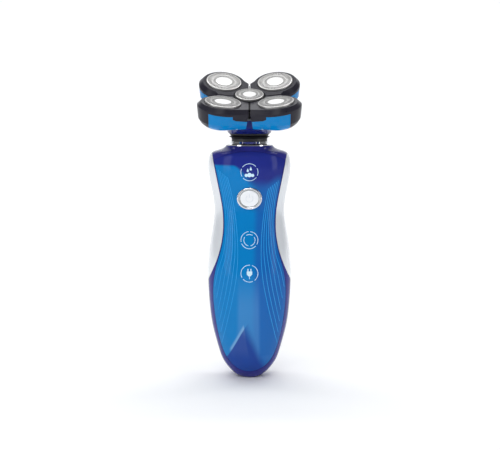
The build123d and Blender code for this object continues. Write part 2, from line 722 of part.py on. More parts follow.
def cutter_solid(plane, radius, proud, socket_hex):
    """A rotary cutter: a carrier disc with two rings of blades above and a drive socket below."""
    blade_top = proud - CAP_SHEET - 0.1
    with BuildPart() as cutter:
        with Locations(plane.offset(blade_top - BLADE_HEIGHT)):
            Cylinder(radius - 1.0, CARRIER_THICKNESS, align=DOWNWARD)
            Cylinder(0.24 * radius, BLADE_HEIGHT, align=UPWARD)
            Cylinder(socket_hex / 2 + 1.0, CARRIER_THICKNESS + SOCKET_LENGTH, align=DOWNWARD)
            with PolarLocations(0.79 * radius, BLADES):
                Box(0.24 * radius, 0.45, BLADE_HEIGHT, rotation=(0, 0, 12), align=UPWARD)
            with PolarLocations(0.43 * radius, BLADES):
                Box(0.24 * radius, 0.45, BLADE_HEIGHT, rotation=(0, 0, 12), align=UPWARD)
        extrude(
            hexagon_on(plane.offset(blade_top - BLADE_HEIGHT - 0.4), socket_hex),
            amount=-(CARRIER_THICKNESS + SOCKET_LENGTH),
            mode=Mode.SUBTRACT,
        )
    return cutter.part


with BuildPart() as hub_ring:
    web_height = GEAR_PLATE_DEPTHS[0] - WEB_TOP_DEPTH
    with Locations(depth_plane(GEAR_PLATE_DEPTHS[0])):
        Box(2 * WEB_SIDE, 2 * WEB_HALF, web_height, align=UPWARD)
    with Locations(shifted(depth_plane(GEAR_PLATE_DEPTHS[0]), 0, (WEB_BACK - WEB_FRONT) / 2)):
        Box(2 * WEB_HALF, WEB_BACK + WEB_FRONT, web_height, align=UPWARD)
    with Locations(face_plane):
        Cylinder((HUB_BORE + HUB_RADIUS) / 2, REACH, mode=Mode.SUBTRACT)
    revolve(
        half_profile(
            face_plane,
            [
                (HUB_BORE, -0.9),
                (HUB_RADIUS, -1.2),
                (HUB_RADIUS, -GEAR_PLATE_DEPTHS[0]),
                (HUB_STEP, -GEAR_PLATE_DEPTHS[0]),
                (HUB_STEP, -4.6),
                (HUB_BORE, -4.6),
            ],
        ),
        axis=axis_of(face_plane),
    )
export(hub_ring, "hub_ring")

with BuildPart() as cap_centre:
    add(cap_solid(face_plane, CENTRE_CAP_RADIUS, 0))
export(cap_centre, "cap_centre")

with BuildPart() as cutter_centre:
    add(cutter_solid(face_plane, CENTRE_CAP_RADIUS, 0, 4.2))
export(cutter_centre, "cutter_centre")


# ---------------------------------------------------------------- pods
def pod_level(side, row, depth):
    """The plane of a pod's top, carried straight down the head's axis."""
    top = pod_plane(side, row)
    return Plane(origin=top.origin - head_axis * depth, x_dir=top.x_dir, z_dir=top.z_dir)


def pod_outline(side, row, margin, plane, past=0.0):
    """A pod seen from above, grown by a margin, on a plane whose origin is the pod's centre.

    It runs from the notch at the head's side, round the lobe and back to the head's axis, or past it.
    """
    lobe = LOBE_RADIUS + margin
    if row < 0:
        last_angle, meeting = -110, FRONT_REACH + (margin if margin > 0 else 0.3 * margin)
    else:
        last_angle, meeting = -160, BACK_NOTCH + 0.4 * margin

    def spot(angle):
        return (side * lobe * math.cos(math.radians(angle)), -row * lobe * math.sin(math.radians(angle)))

    corner = (-side * (POD_CENTRE + past), -row * (POD_CENTRE + past))
    notch = (side * (SIDE_NOTCH + 0.4 * margin - POD_CENTRE), corner[1])
    far = (corner[0], row * (meeting - POD_CENTRE))
    with BuildSketch(plane) as outline:
        with BuildLine():
            Line(corner, notch)
            Line(notch, spot(FIRST_ANGLE))
            ThreePointArc(spot(FIRST_ANGLE), spot((FIRST_ANGLE + last_angle) / 2), spot(last_angle))
            Line(spot(last_angle), far)
            Line(far, corner)
        make_face()
    return outline.sketch


def quadrant(side, row, gap, depth):
    """A square that covers one pod's quarter of the head, clear of the grooves between pods."""
    with BuildSketch(shifted(depth_plane(depth), side * (gap + REACH / 2), row * (gap + REACH / 2))) as square:
        Rectangle(REACH, REACH)
    return square.sketch


def cup_bulk(side, row, inset, past):
    """The solid form of one cup: a pod's outline carried down and drawn in towards the foot."""
    sections = [pod_outline(side, row, BEVEL - inset, pod_level(side, row, FRAME_DEPTH), past)]
    for depth, margin in CUP_SECTIONS:
        level = shifted(depth_plane(depth), side * POD_CENTRE, row * POD_CENTRE)
        sections.append(pod_outline(side, row, margin - inset, level, past))
    with BuildPart() as bulk:
        for upper, lower in zip(sections, sections[1:]):
            loft([upper, lower], ruled=True)
    return bulk.part


def block_on(plane, centre, size):
    """A box centred on a point given in a plane's own coordinates."""
    with BuildPart() as block:
        with Locations(shifted(plane, centre[0], centre[1]).offset(centre[2])):
            Box(*size)
    return block.part


for pod_name, (side, row) in PODS.items():
    top = pod_plane(side, row)
    hinge = hinge_plane(side, row)

    with BuildPart() as cup_wall:
        add(cup_bulk(side, row, 0, 0))
        add(cup_bulk(side, row, CUP_WALL, 2.0), mode=Mode.SUBTRACT)
        loft([quadrant(side, row, GROOVE, 0), quadrant(side, row, FOOT_GROOVE, CUP_LOWEST + 1)], mode=Mode.INTERSECT)
        extrude(  # room for the gear case
            on_plane(depth_plane(CUP_LOWEST + 1), clover(CORE_RADIUS + CORE_ROOM, CORE_LOBE + CORE_ROOM)),
            amount=CUP_LOWEST + 1 - GEAR_PLATE_DEPTHS[0] + CORE_ROOM,
            mode=Mode.SUBTRACT,
        )

    cup_windows = cup_wall.part
    frame_legs = []
    if row < 0:
        with BuildPart() as leg_zone:
            zone = (REACH, 2 * REACH, LEG_LOWEST)
            add(block_on(face_plane, (side * (LEG_INNER + REACH / 2), 0, -LEG_LOWEST / 2), zone))
            with BuildSketch(Plane(origin=face_plane.origin, x_dir=(1, 0, 0), z_dir=-face_plane.y_dir)) as tab:
                Polygon(*TAB_CORNERS, align=None)
            extrude(amount=REACH)
        cup_windows = cup_wall.part - leg_zone.part
        frame_legs = [cup_wall.part & leg_zone.part]

    with BuildPart() as pod_frame:
        upper = pod_outline(side, row, 0, pod_level(side, row, 0))
        middle = pod_outline(side, row, BEVEL, pod_level(side, row, BEVEL_DROP))
        lower = pod_outline(side, row, BEVEL, pod_level(side, row, FRAME_DEPTH))
        loft([upper, middle], ruled=True)
        loft([middle, lower], ruled=True)
        add(block_on(hinge, (0, 0.6, 0), (1.7, 1.4, LUG_LENGTH)))
        with Locations(hinge):
            Cylinder(LUG_RADIUS, LUG_LENGTH)
        extrude(quadrant(side, row, GROOVE, GEAR_FLOOR_DEPTHS[1]), amount=2 * GEAR_FLOOR_DEPTHS[1], mode=Mode.INTERSECT)
        with Locations(depth_plane(0)):
            Cylinder(POD_INNER_RADIUS, 40, mode=Mode.SUBTRACT)
        with Locations(top.offset(-CAP_LEDGE)):
            Cylinder(CAP_RADIUS + CAP_CLEARANCE, 20, align=UPWARD, mode=Mode.SUBTRACT)
        with Locations(top):
            Cylinder(CAP_RADIUS - 0.7, 20, mode=Mode.SUBTRACT)
        with Locations(hinge):
            Cylinder(HINGE_PIN + PIN_CLEARANCE, 30, mode=Mode.SUBTRACT)
        for end in (-1, 1):  # room for the hinge brackets
            add(
                block_on(hinge, (0, 0, end * BRACKET_OFFSET), (2.8, 2.6, BRACKET_WIDTH + 0.6)),
                mode=Mode.SUBTRACT,
            )
        for leg in frame_legs:
            add(leg)
    export(pod_frame, f"pod_frame_{pod_name}")

    with BuildPart() as pod_cup:
        add(cup_windows)
    export(pod_cup, f"pod_cup_{pod_name}")

    with BuildPart() as pod_cap:
        add(cap_solid(top, CAP_RADIUS, CAP_PROUD))
    export(pod_cap, f"cap_{pod_name}")

    with BuildPart() as pod_cutter:
        add(cutter_solid(top, CAP_RADIUS, CAP_PROUD, 4.8))
    export(pod_cutter, f"cutter_{pod_name}")

    gear_origin = depth_plane(0).origin + outward(side, row) * GEAR_RADIUS
    gear_axis = Plane(origin=gear_origin, x_dir=outward(side, row), z_dir=head_axis)
    with BuildPart() as planet_gear:
        extrude(
            on_plane(gear_axis.offset(-GEAR_DEPTHS[1]), gear_outline(PLANET_TEETH, 0.5)),
            amount=GEAR_DEPTHS[1] - GEAR_DEPTHS[0],
        )
        with Locations(gear_axis.offset(-GEAR_DEPTHS[1])):
            Cylinder(AXLE_RADIUS, AXLE_LENGTH, align=DOWNWARD)
        with Locations(gear_axis.offset(-GEAR_DEPTHS[0])):
            Cylinder(1.2, GEAR_DEPTHS[0] - POD_HEX_DEPTHS[1], align=UPWARD)
        extrude(
            hexagon_on(gear_axis.offset(-POD_HEX_DEPTHS[1]), DRIVE_HEX),
            amount=POD_HEX_DEPTHS[1] - POD_HEX_DEPTHS[0],
        )
    export(planet_gear, f"planet_gear_{pod_name}")
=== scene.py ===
"""Looks of a rotary electric shaver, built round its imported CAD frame. Metres, +Z up, -Y the front."""

import json
import logging
import math
from dataclasses import dataclass, field
from enum import Enum
from typing import Iterable, Sequence

import bmesh
import bpy
from mathutils import Matrix, Vector
from mathutils.bvhtree import BVHTree


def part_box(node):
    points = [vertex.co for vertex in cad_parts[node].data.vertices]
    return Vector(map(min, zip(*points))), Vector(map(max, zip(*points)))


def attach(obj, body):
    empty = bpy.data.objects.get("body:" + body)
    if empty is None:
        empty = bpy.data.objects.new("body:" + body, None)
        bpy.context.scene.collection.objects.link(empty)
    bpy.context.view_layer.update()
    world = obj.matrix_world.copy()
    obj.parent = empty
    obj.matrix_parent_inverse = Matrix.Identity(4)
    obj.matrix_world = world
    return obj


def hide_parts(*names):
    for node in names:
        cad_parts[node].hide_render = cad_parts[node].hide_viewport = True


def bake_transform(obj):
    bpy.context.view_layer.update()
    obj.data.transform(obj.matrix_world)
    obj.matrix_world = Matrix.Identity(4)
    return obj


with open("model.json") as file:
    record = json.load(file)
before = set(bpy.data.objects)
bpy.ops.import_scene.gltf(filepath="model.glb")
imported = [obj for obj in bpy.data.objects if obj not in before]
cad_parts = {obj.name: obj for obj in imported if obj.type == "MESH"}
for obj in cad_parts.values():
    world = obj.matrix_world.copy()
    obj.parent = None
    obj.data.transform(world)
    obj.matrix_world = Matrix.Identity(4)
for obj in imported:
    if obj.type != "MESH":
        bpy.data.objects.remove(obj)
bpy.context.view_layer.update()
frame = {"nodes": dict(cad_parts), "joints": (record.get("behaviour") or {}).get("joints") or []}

MM = 0.001
log = logging.getLogger("shaver")

Point = tuple[float, float]
Colour = tuple[float, float, float]
Stage = tuple[bpy.types.NodeTree, dict[str, object]]


# ---------------------------------------------------------------- camera, light and backdrop
@dataclass(frozen=True)
class Softbox:
    """One rectangular soft light: where it hangs, its width and height, and its power in watts."""

    name: str
    place: tuple[float, float, float]
    size: Point
    power: float
    target: tuple[float, float, float] = (0.0, 0.0, 0.09)

    def hang(self) -> None:
        """Adds the light to the scene, facing its target."""
        data = bpy.data.lights.new(self.name, "AREA")
        data.shape = "RECTANGLE"
        data.size, data.size_y = self.size
        data.energy = self.power
        light = bpy.data.objects.new(self.name, data)
        light.location = self.place
        facing = Vector(self.target) - Vector(self.place)
        light.rotation_euler = facing.to_track_quat("-Z", "Y").to_euler()
        bpy.context.scene.collection.objects.link(light)


SOFTBOXES = (
    Softbox("left_window", (-0.62, -0.45, 0.30), (0.30, 0.9), 2.2),
    Softbox("right_window", (0.68, -0.35, 0.25), (0.22, 0.9), 1.8),
    Softbox("overhead", (0.0, 0.05, 0.8), (0.6, 0.4), 1.6),
    Softbox("front_fill", (-0.1, -0.85, 0.75), (0.5, 0.3), 3.4),
    Softbox("wall_wash", (0.0, 0.7, 1.9), (3.0, 0.6), 40.0, (0.0, 1.9, 0.4)),
)


@dataclass
class Studio:
    """The camera, the lights and the pale sweep that the shaver stands on."""

    elevation: float = 7.0
    distance: float = 0.650
    lens: float = 83.5
    aim: Vector = field(default_factory=lambda: Vector((0.0003, 0.0, 0.0861)))
    floor_size: float = 6.0
    floor_front: float = -2.0
    bend_start: float = 1.2
    bend_radius: float = 0.8
    wall_height: float = 4.0
    world_tint: Colour = (0.95, 0.97, 1.0)
    world_strength: float = 0.16

    def camera(self) -> bpy.types.Object:
        """Makes the scene's camera, level with the head and looking slightly down.

        Returns:
            The camera object.
        """
        data = bpy.data.cameras.new("studio_camera")
        data.lens = self.lens
        camera = bpy.data.objects.new("studio_camera", data)
        tilt = math.radians(self.elevation)
        back = Vector((0.0, -math.cos(tilt), math.sin(tilt)))
        camera.location = self.aim + back * self.distance
        camera.rotation_euler = (-back).to_track_quat("-Z", "Y").to_euler()
        bpy.context.scene.collection.objects.link(camera)
        bpy.context.scene.camera = camera
        return camera

    def backdrop(self) -> None:
        """Lays a pale floor that curves up into a wall behind the shaver."""
        mesh = bpy.data.meshes.new("sweep")
        start, radius = self.bend_start, self.bend_radius
        profile = [(self.floor_front, 0.0), (start, 0.0)]
        profile += [
            (start + math.sin(a) * radius, radius - math.cos(a) * radius)
            for a in steps(0.0, math.pi / 2, 16)
        ]
        profile.append((start + radius, self.wall_height))
        half = self.floor_size / 2
        rows = [[(side * half, y, z) for y, z in profile] for side in (-1, 1)]
        count = len(profile)
        faces = [(i, i + 1, count + i + 1, count + i) for i in range(count - 1)]
        mesh.from_pydata(rows[0] + rows[1], [], [tuple(reversed(face)) for face in faces])
        sweep = bpy.data.objects.new("sweep", mesh)
        bpy.context.scene.collection.objects.link(sweep)
        for polygon in mesh.polygons:
            polygon.use_smooth = True
        mesh.materials.append(Finish("studio_white", (0.92, 0.93, 0.94), roughness=0.9).build())

    def build(self) -> None:
        """Sets up the whole studio."""
        scene = bpy.context.scene
        scene.view_settings.view_transform = "Standard"
        self.backdrop()
        for softbox in SOFTBOXES:
            softbox.hang()
        world = bpy.data.worlds.new("studio_world")
        world.use_nodes = True
        background = world.node_tree.nodes["Background"]
        background.inputs["Color"].default_value = (*self.world_tint, 1.0)
        background.inputs["Strength"].default_value = self.world_strength
        scene.world = world


# ---------------------------------------------------------------- small helpers
def steps(first: float, last: float, count: int) -> list[float]:
    """Evenly spaced values from first to last, both included."""
    return [first + (last - first) * i / (count - 1) for i in range(count)]


def new_piece(name: str, mesh: bpy.types.Mesh, body: str, smooth: bool = True) -> bpy.types.Object:
    """Links a finished mesh as a piece that rides on a CAD body.

    Args:
        name: The piece's name.
        mesh: Its mesh, already in place in the row frame.
        body: The CAD body that carries it.
        smooth: Whether gentle edges are shaded smooth.

    Returns:
        The new object.
    """
    mesh.name = name
    piece = bpy.data.objects.new(name, mesh)
    bpy.context.scene.collection.objects.link(piece)
    if smooth:
        mesh.polygons.foreach_set("use_smooth", [True] * len(mesh.polygons))
        mesh.set_sharp_from_angle(angle=math.radians(35))
    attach(piece, body)
    log.info("%s: %d faces on %s", name, len(mesh.polygons), body)
    return piece


def lathe(profile: Sequence[Point], segments: int) -> bpy.types.Mesh:
    """Turns a closed (radius, height) outline about Z into a closed mesh.

    Args:
        profile: The outline's corners, in order.
        segments: How many steps make a full turn.

    Returns:
        The mesh, with its normals outwards.
    """
    bm = bmesh.new()
    rings = []
    for i in range(segments):
        angle = 2 * math.pi * i / segments
        rings.append([bm.verts.new((r * math.cos(angle), r * math.sin(angle), z)) for r, z in profile])
    for ring, following in zip(rings, rings[1:] + rings[:1]):
        for j in range(len(profile)):
            k = (j + 1) % len(profile)
            bm.faces.new((ring[j], following[j], following[k], ring[k]))
    bmesh.ops.remove_doubles(bm, verts=bm.verts, dist=1e-7)
    bmesh.ops.dissolve_degenerate(bm, edges=bm.edges, dist=1e-8)
    bmesh.ops.recalc_face_normals(bm, faces=bm.faces)
    mesh = bpy.data.meshes.new("lathe")
    bm.to_mesh(mesh)
    bm.free()
    return mesh


def place_on(normal: Vector, origin: Vector) -> Matrix:
    """The matrix that carries Z onto a normal and the origin onto a point."""
    side = Vector((1.0, 0.0, 0.0))
    across = normal.cross(side).normalized()
    side = across.cross(normal).normalized()
    turn = Matrix((side, across, normal)).transposed().to_4x4()
    return Matrix.Translation(origin) @ turn


def joint_named(name: str) -> dict:
    """The record's joint of that name."""
    return next(joint for joint in frame["joints"] if joint["name"] == name)


# ---------------------------------------------------------------- shader groups and finishes
def shader_group(name: str, inputs: dict[str, tuple[str, float | Colour]], outputs: dict[str, str]):
    """Starts a shader node group with named sockets.

    Args:
        name: The group's name.
        inputs: Socket name to its type and default.
        outputs: Socket name to its type.

    Returns:
        The group's tree, its input node and its output node.
    """
    tree = bpy.data.node_groups.new(name, "ShaderNodeTree")
    for label, (kind, default) in inputs.items():
        socket = tree.interface.new_socket(label, in_out="INPUT", socket_type=kind)
        socket.default_value = (*default, 1.0) if isinstance(default, tuple) else default
    for label, kind in outputs.items():
        tree.interface.new_socket(label, in_out="OUTPUT", socket_type=kind)
    return tree, tree.nodes.new("NodeGroupInput"), tree.nodes.new("NodeGroupOutput")


def fine_grain_group() -> bpy.types.NodeTree:
    """The group that mottles a colour and a roughness a little and gives a height for a bump.

    Returns:
        The group, made once and shared.
    """
    made = bpy.data.node_groups.get("fine_grain")
    if made:
        return made
    tree, given, result = shader_group(
        "fine_grain",
        {
            "Colour": ("NodeSocketColor", (0.5, 0.5, 0.5)),
            "Roughness": ("NodeSocketFloat", 0.4),
            "Spread": ("NodeSocketFloat", 0.1),
            "Scale": ("NodeSocketFloat", 900.0),
        },
        {"Colour": "NodeSocketColor", "Roughness": "NodeSocketFloat", "Height": "NodeSocketFloat"},
    )
    place = tree.nodes.new("ShaderNodeTexCoord")
    noise = tree.nodes.new("ShaderNodeTexNoise")
    noise.inputs["Detail"].default_value = 2.0
    centred = tree.nodes.new("ShaderNodeMath")
    centred.operation = "SUBTRACT"
    centred.inputs[1].default_value = 0.5
    scaled = tree.nodes.new("ShaderNodeMath")
    scaled.operation = "MULTIPLY"
    rough = tree.nodes.new("ShaderNodeMath")
    rough.operation = "ADD"
    rough.use_clamp = True
    bright = tree.nodes.new("ShaderNodeMath")
    bright.operation = "ADD"
    bright.inputs[1].default_value = 1.0
    tint = tree.nodes.new("ShaderNodeVectorMath")
    tint.operation = "SCALE"
    links = tree.links
    links.new(place.outputs["Object"], noise.inputs["Vector"])
    links.new(given.outputs["Scale"], noise.inputs["Scale"])
    links.new(noise.outputs["Fac"], centred.inputs[0])
    links.new(centred.outputs[0], scaled.inputs[0])
    links.new(given.outputs["Spread"], scaled.inputs[1])
    links.new(given.outputs["Roughness"], rough.inputs[0])
    links.new(scaled.outputs[0], rough.inputs[1])
    links.new(scaled.outputs[0], bright.inputs[0])
    links.new(given.outputs["Colour"], tint.inputs[0])
    links.new(bright.outputs[0], tint.inputs["Scale"])
    links.new(tint.outputs["Vector"], result.inputs["Colour"])
    links.new(rough.outputs[0], result.inputs["Roughness"])
    links.new(noise.outputs["Fac"], result.inputs["Height"])
    return tree


def stepped_edge_group() -> bpy.types.NodeTree:
    """The group that gives 1 above a line which steps smoothly from one height to another, else 0.

    The line lies at the first height left of Start, at the second one right of End, and its softness
    goes the same way. All distances are metres of the front view.

    Returns:
        The group, made once and shared.
    """
    made = bpy.data.node_groups.get("stepped_edge")
    if made:
        return made
    names = ("Start", "End", "First Height", "Second Height", "First Softness", "Second Softness")
    tree, given, result = shader_group(
        "stepped_edge",
        {name: ("NodeSocketFloat", 0.01) for name in names},
        {"Mask": "NodeSocketFloat"},
    )
    place = tree.nodes.new("ShaderNodeTexCoord")
    split = tree.nodes.new("ShaderNodeSeparateXYZ")
    step = tree.nodes.new("ShaderNodeMapRange")
    step.interpolation_type = "SMOOTHSTEP"
    height = tree.nodes.new("ShaderNodeMapRange")
    softness = tree.nodes.new("ShaderNodeMapRange")
    above = tree.nodes.new("ShaderNodeMath")
    above.operation = "SUBTRACT"
    share = tree.nodes.new("ShaderNodeMath")
    share.operation = "DIVIDE"
    ease = tree.nodes.new("ShaderNodeMapRange")
    ease.interpolation_type = "SMOOTHSTEP"
    ease.inputs["From Min"].default_value = -1.0
    links = tree.links
    links.new(place.outputs["Object"], split.inputs[0])
    links.new(split.outputs["X"], step.inputs["Value"])
    links.new(given.outputs["Start"], step.inputs["From Min"])
    links.new(given.outputs["End"], step.inputs["From Max"])
    for target, quantity in ((height, "Height"), (softness, "Softness")):
        links.new(step.outputs["Result"], target.inputs["Value"])
        links.new(given.outputs[f"First {quantity}"], target.inputs["To Min"])
        links.new(given.outputs[f"Second {quantity}"], target.inputs["To Max"])
    links.new(split.outputs["Z"], above.inputs[0])
    links.new(height.outputs["Result"], above.inputs[1])
    links.new(above.outputs[0], share.inputs[0])
    links.new(softness.outputs["Result"], share.inputs[1])
    links.new(share.outputs[0], ease.inputs["Value"])
    links.new(ease.outputs["Result"], result.inputs["Mask"])
    return tree


@dataclass(frozen=True)
class Finish:
    """One plain finish: its colour and how it takes the light."""

    name: str
    colour: Colour
    metallic: float = 0.0
    roughness: float = 0.4
    coat: float = 0.0
    transmission: float = 0.0
    shine: float = 0.5
    spread: float = 0.0
    grain_scale: float = 900.0
    bump: float = 0.0

    def build(self) -> bpy.types.Material:
        """Makes the material, or gives the one already made under this name.

        Returns:
            The material.
        """
        made = bpy.data.materials.get(self.name)
        if made:
            return made
        material = bpy.data.materials.new(self.name)
        material.use_nodes = True
        tree = material.node_tree
        shader = tree.nodes["Principled BSDF"]
        shader.inputs["Base Color"].default_value = (*self.colour, 1.0)
        shader.inputs["Metallic"].default_value = self.metallic
        shader.inputs["Roughness"].default_value = self.roughness
        shader.inputs["Coat Weight"].default_value = self.coat
        shader.inputs["Coat Roughness"].default_value = 0.04
        shader.inputs["Transmission Weight"].default_value = self.transmission
        shader.inputs["Specular IOR Level"].default_value = self.shine
        if self.spread:
            grain = tree.nodes.new("ShaderNodeGroup")
            grain.node_tree = fine_grain_group()
            grain.inputs["Colour"].default_value = (*self.colour, 1.0)
            grain.inputs["Roughness"].default_value = self.roughness
            grain.inputs["Spread"].default_value = self.spread
            grain.inputs["Scale"].default_value = self.grain_scale
            tree.links.new(grain.outputs["Colour"], shader.inputs["Base Color"])
            tree.links.new(grain.outputs["Roughness"], shader.inputs["Roughness"])
            if self.bump:
                bump = tree.nodes.new("ShaderNodeBump")
                bump.inputs["Strength"].default_value = self.bump
                bump.inputs["Distance"].default_value = 0.05 * MM
                tree.links.new(grain.outputs["Height"], bump.inputs["Height"])
                tree.links.new(bump.outputs["Normal"], shader.inputs["Normal"])
        return material


@dataclass(frozen=True)
class Edge:
    """A line across the front view that steps from one height to another. Metres."""

    start: float
    end: float
    heights: Point
    softness: Point
    below: bool = False


@dataclass(frozen=True)
class PaintedLight:
    """A patch of painted light laid over part of a lacquer, wherever all of its edges let it: a second
    colour standing in for highlights, reflections and shade.
    """

    colour: Colour
    edges: tuple[Edge, ...]
    amount: float = 1.0


@dataclass(frozen=True)
class PaintedLightLacquer:
    """A glossy azure lacquer with painted reflections, painted highlights and painted shade over it, so
    that its blue runs from azure to indigo over the handle.
    """

    name: str
    colour: Colour
    shades: tuple[PaintedLight, ...]
    roughness: float = 0.12
    coat: float = 0.10
    shine: float = 0.08

    def mask(self, tree: bpy.types.NodeTree, edge: Edge) -> bpy.types.NodeSocket:
        """Adds one stepped edge to a material.

        Args:
            tree: The material's node tree.
            edge: The edge.

        Returns:
            The socket that carries the mask.
        """
        step = tree.nodes.new("ShaderNodeGroup")
        step.node_tree = stepped_edge_group()
        values = (edge.start, edge.end, *edge.heights, *edge.softness)
        for socket, value in zip(step.inputs, values):
            socket.default_value = value
        if not edge.below:
            return step.outputs["Mask"]
        flip = tree.nodes.new("ShaderNodeMath")
        flip.operation = "SUBTRACT"
        flip.inputs[0].default_value = 1.0
        tree.links.new(step.outputs["Mask"], flip.inputs[1])
        return flip.outputs[0]

    def build(self) -> bpy.types.Material:
        """Makes the material, or gives the one already made under this name.

        Returns:
            The material.
        """
        made = bpy.data.materials.get(self.name)
        if made:
            return made
        material = bpy.data.materials.new(self.name)
        material.use_nodes = True
        tree = material.node_tree
        shader = tree.nodes["Principled BSDF"]
        shader.inputs["Roughness"].default_value = self.roughness
        shader.inputs["Specular IOR Level"].default_value = self.shine
        shader.inputs["Coat Weight"].default_value = self.coat
        shader.inputs["Coat Roughness"].default_value = 0.03
        last = None
        # Each patch mixes painted light over the colour so far.
        for shade in self.shades:
            factor = None
            for edge in shade.edges:
                both = tree.nodes.new("ShaderNodeMath")
                both.operation = "MULTIPLY"
                both.inputs[0].default_value = shade.amount
                if factor is not None:
                    tree.links.new(factor, both.inputs[0])
                tree.links.new(self.mask(tree, edge), both.inputs[1])
                factor = both.outputs[0]
            mix = tree.nodes.new("ShaderNodeMix")
            mix.data_type = "RGBA"
            first, second = (socket for socket in mix.inputs if socket.type == "RGBA")
            first.default_value = (*self.colour, 1.0)
            second.default_value = (*shade.colour, 1.0)
            tree.links.new(factor, mix.inputs["Factor"])
            if last is not None:
                tree.links.new(last, first)
            last = next(socket for socket in mix.outputs if socket.type == "RGBA")
        tree.links.new(last, shader.inputs["Base Color"])
        return material


AZURE = (0.003, 0.200, 0.530)
# Painted shade: the darker blue laid over the panel's right side.
PAINTED_SHADE_BLUE = (0.010, 0.125, 0.440)
# Painted reflection: the dark indigo band over the panel's top.
PAINTED_REFLECTION_INDIGO = (0.018, 0.028, 0.230)
# Painted reflection: the deep blue wedge at the bottom of the panel.
PAINTED_REFLECTION_DEEP_BLUE = (0.014, 0.045, 0.290)
# Painted highlight: the soft pale band down the middle of the panel.
PAINTED_HIGHLIGHT_BLUE = (0.075, 0.255, 0.560)
# Painted highlight: the thin light streak along the bottom wedge's left edge.
PAINTED_HIGHLIGHT_STREAK = (0.330, 0.560, 0.800)


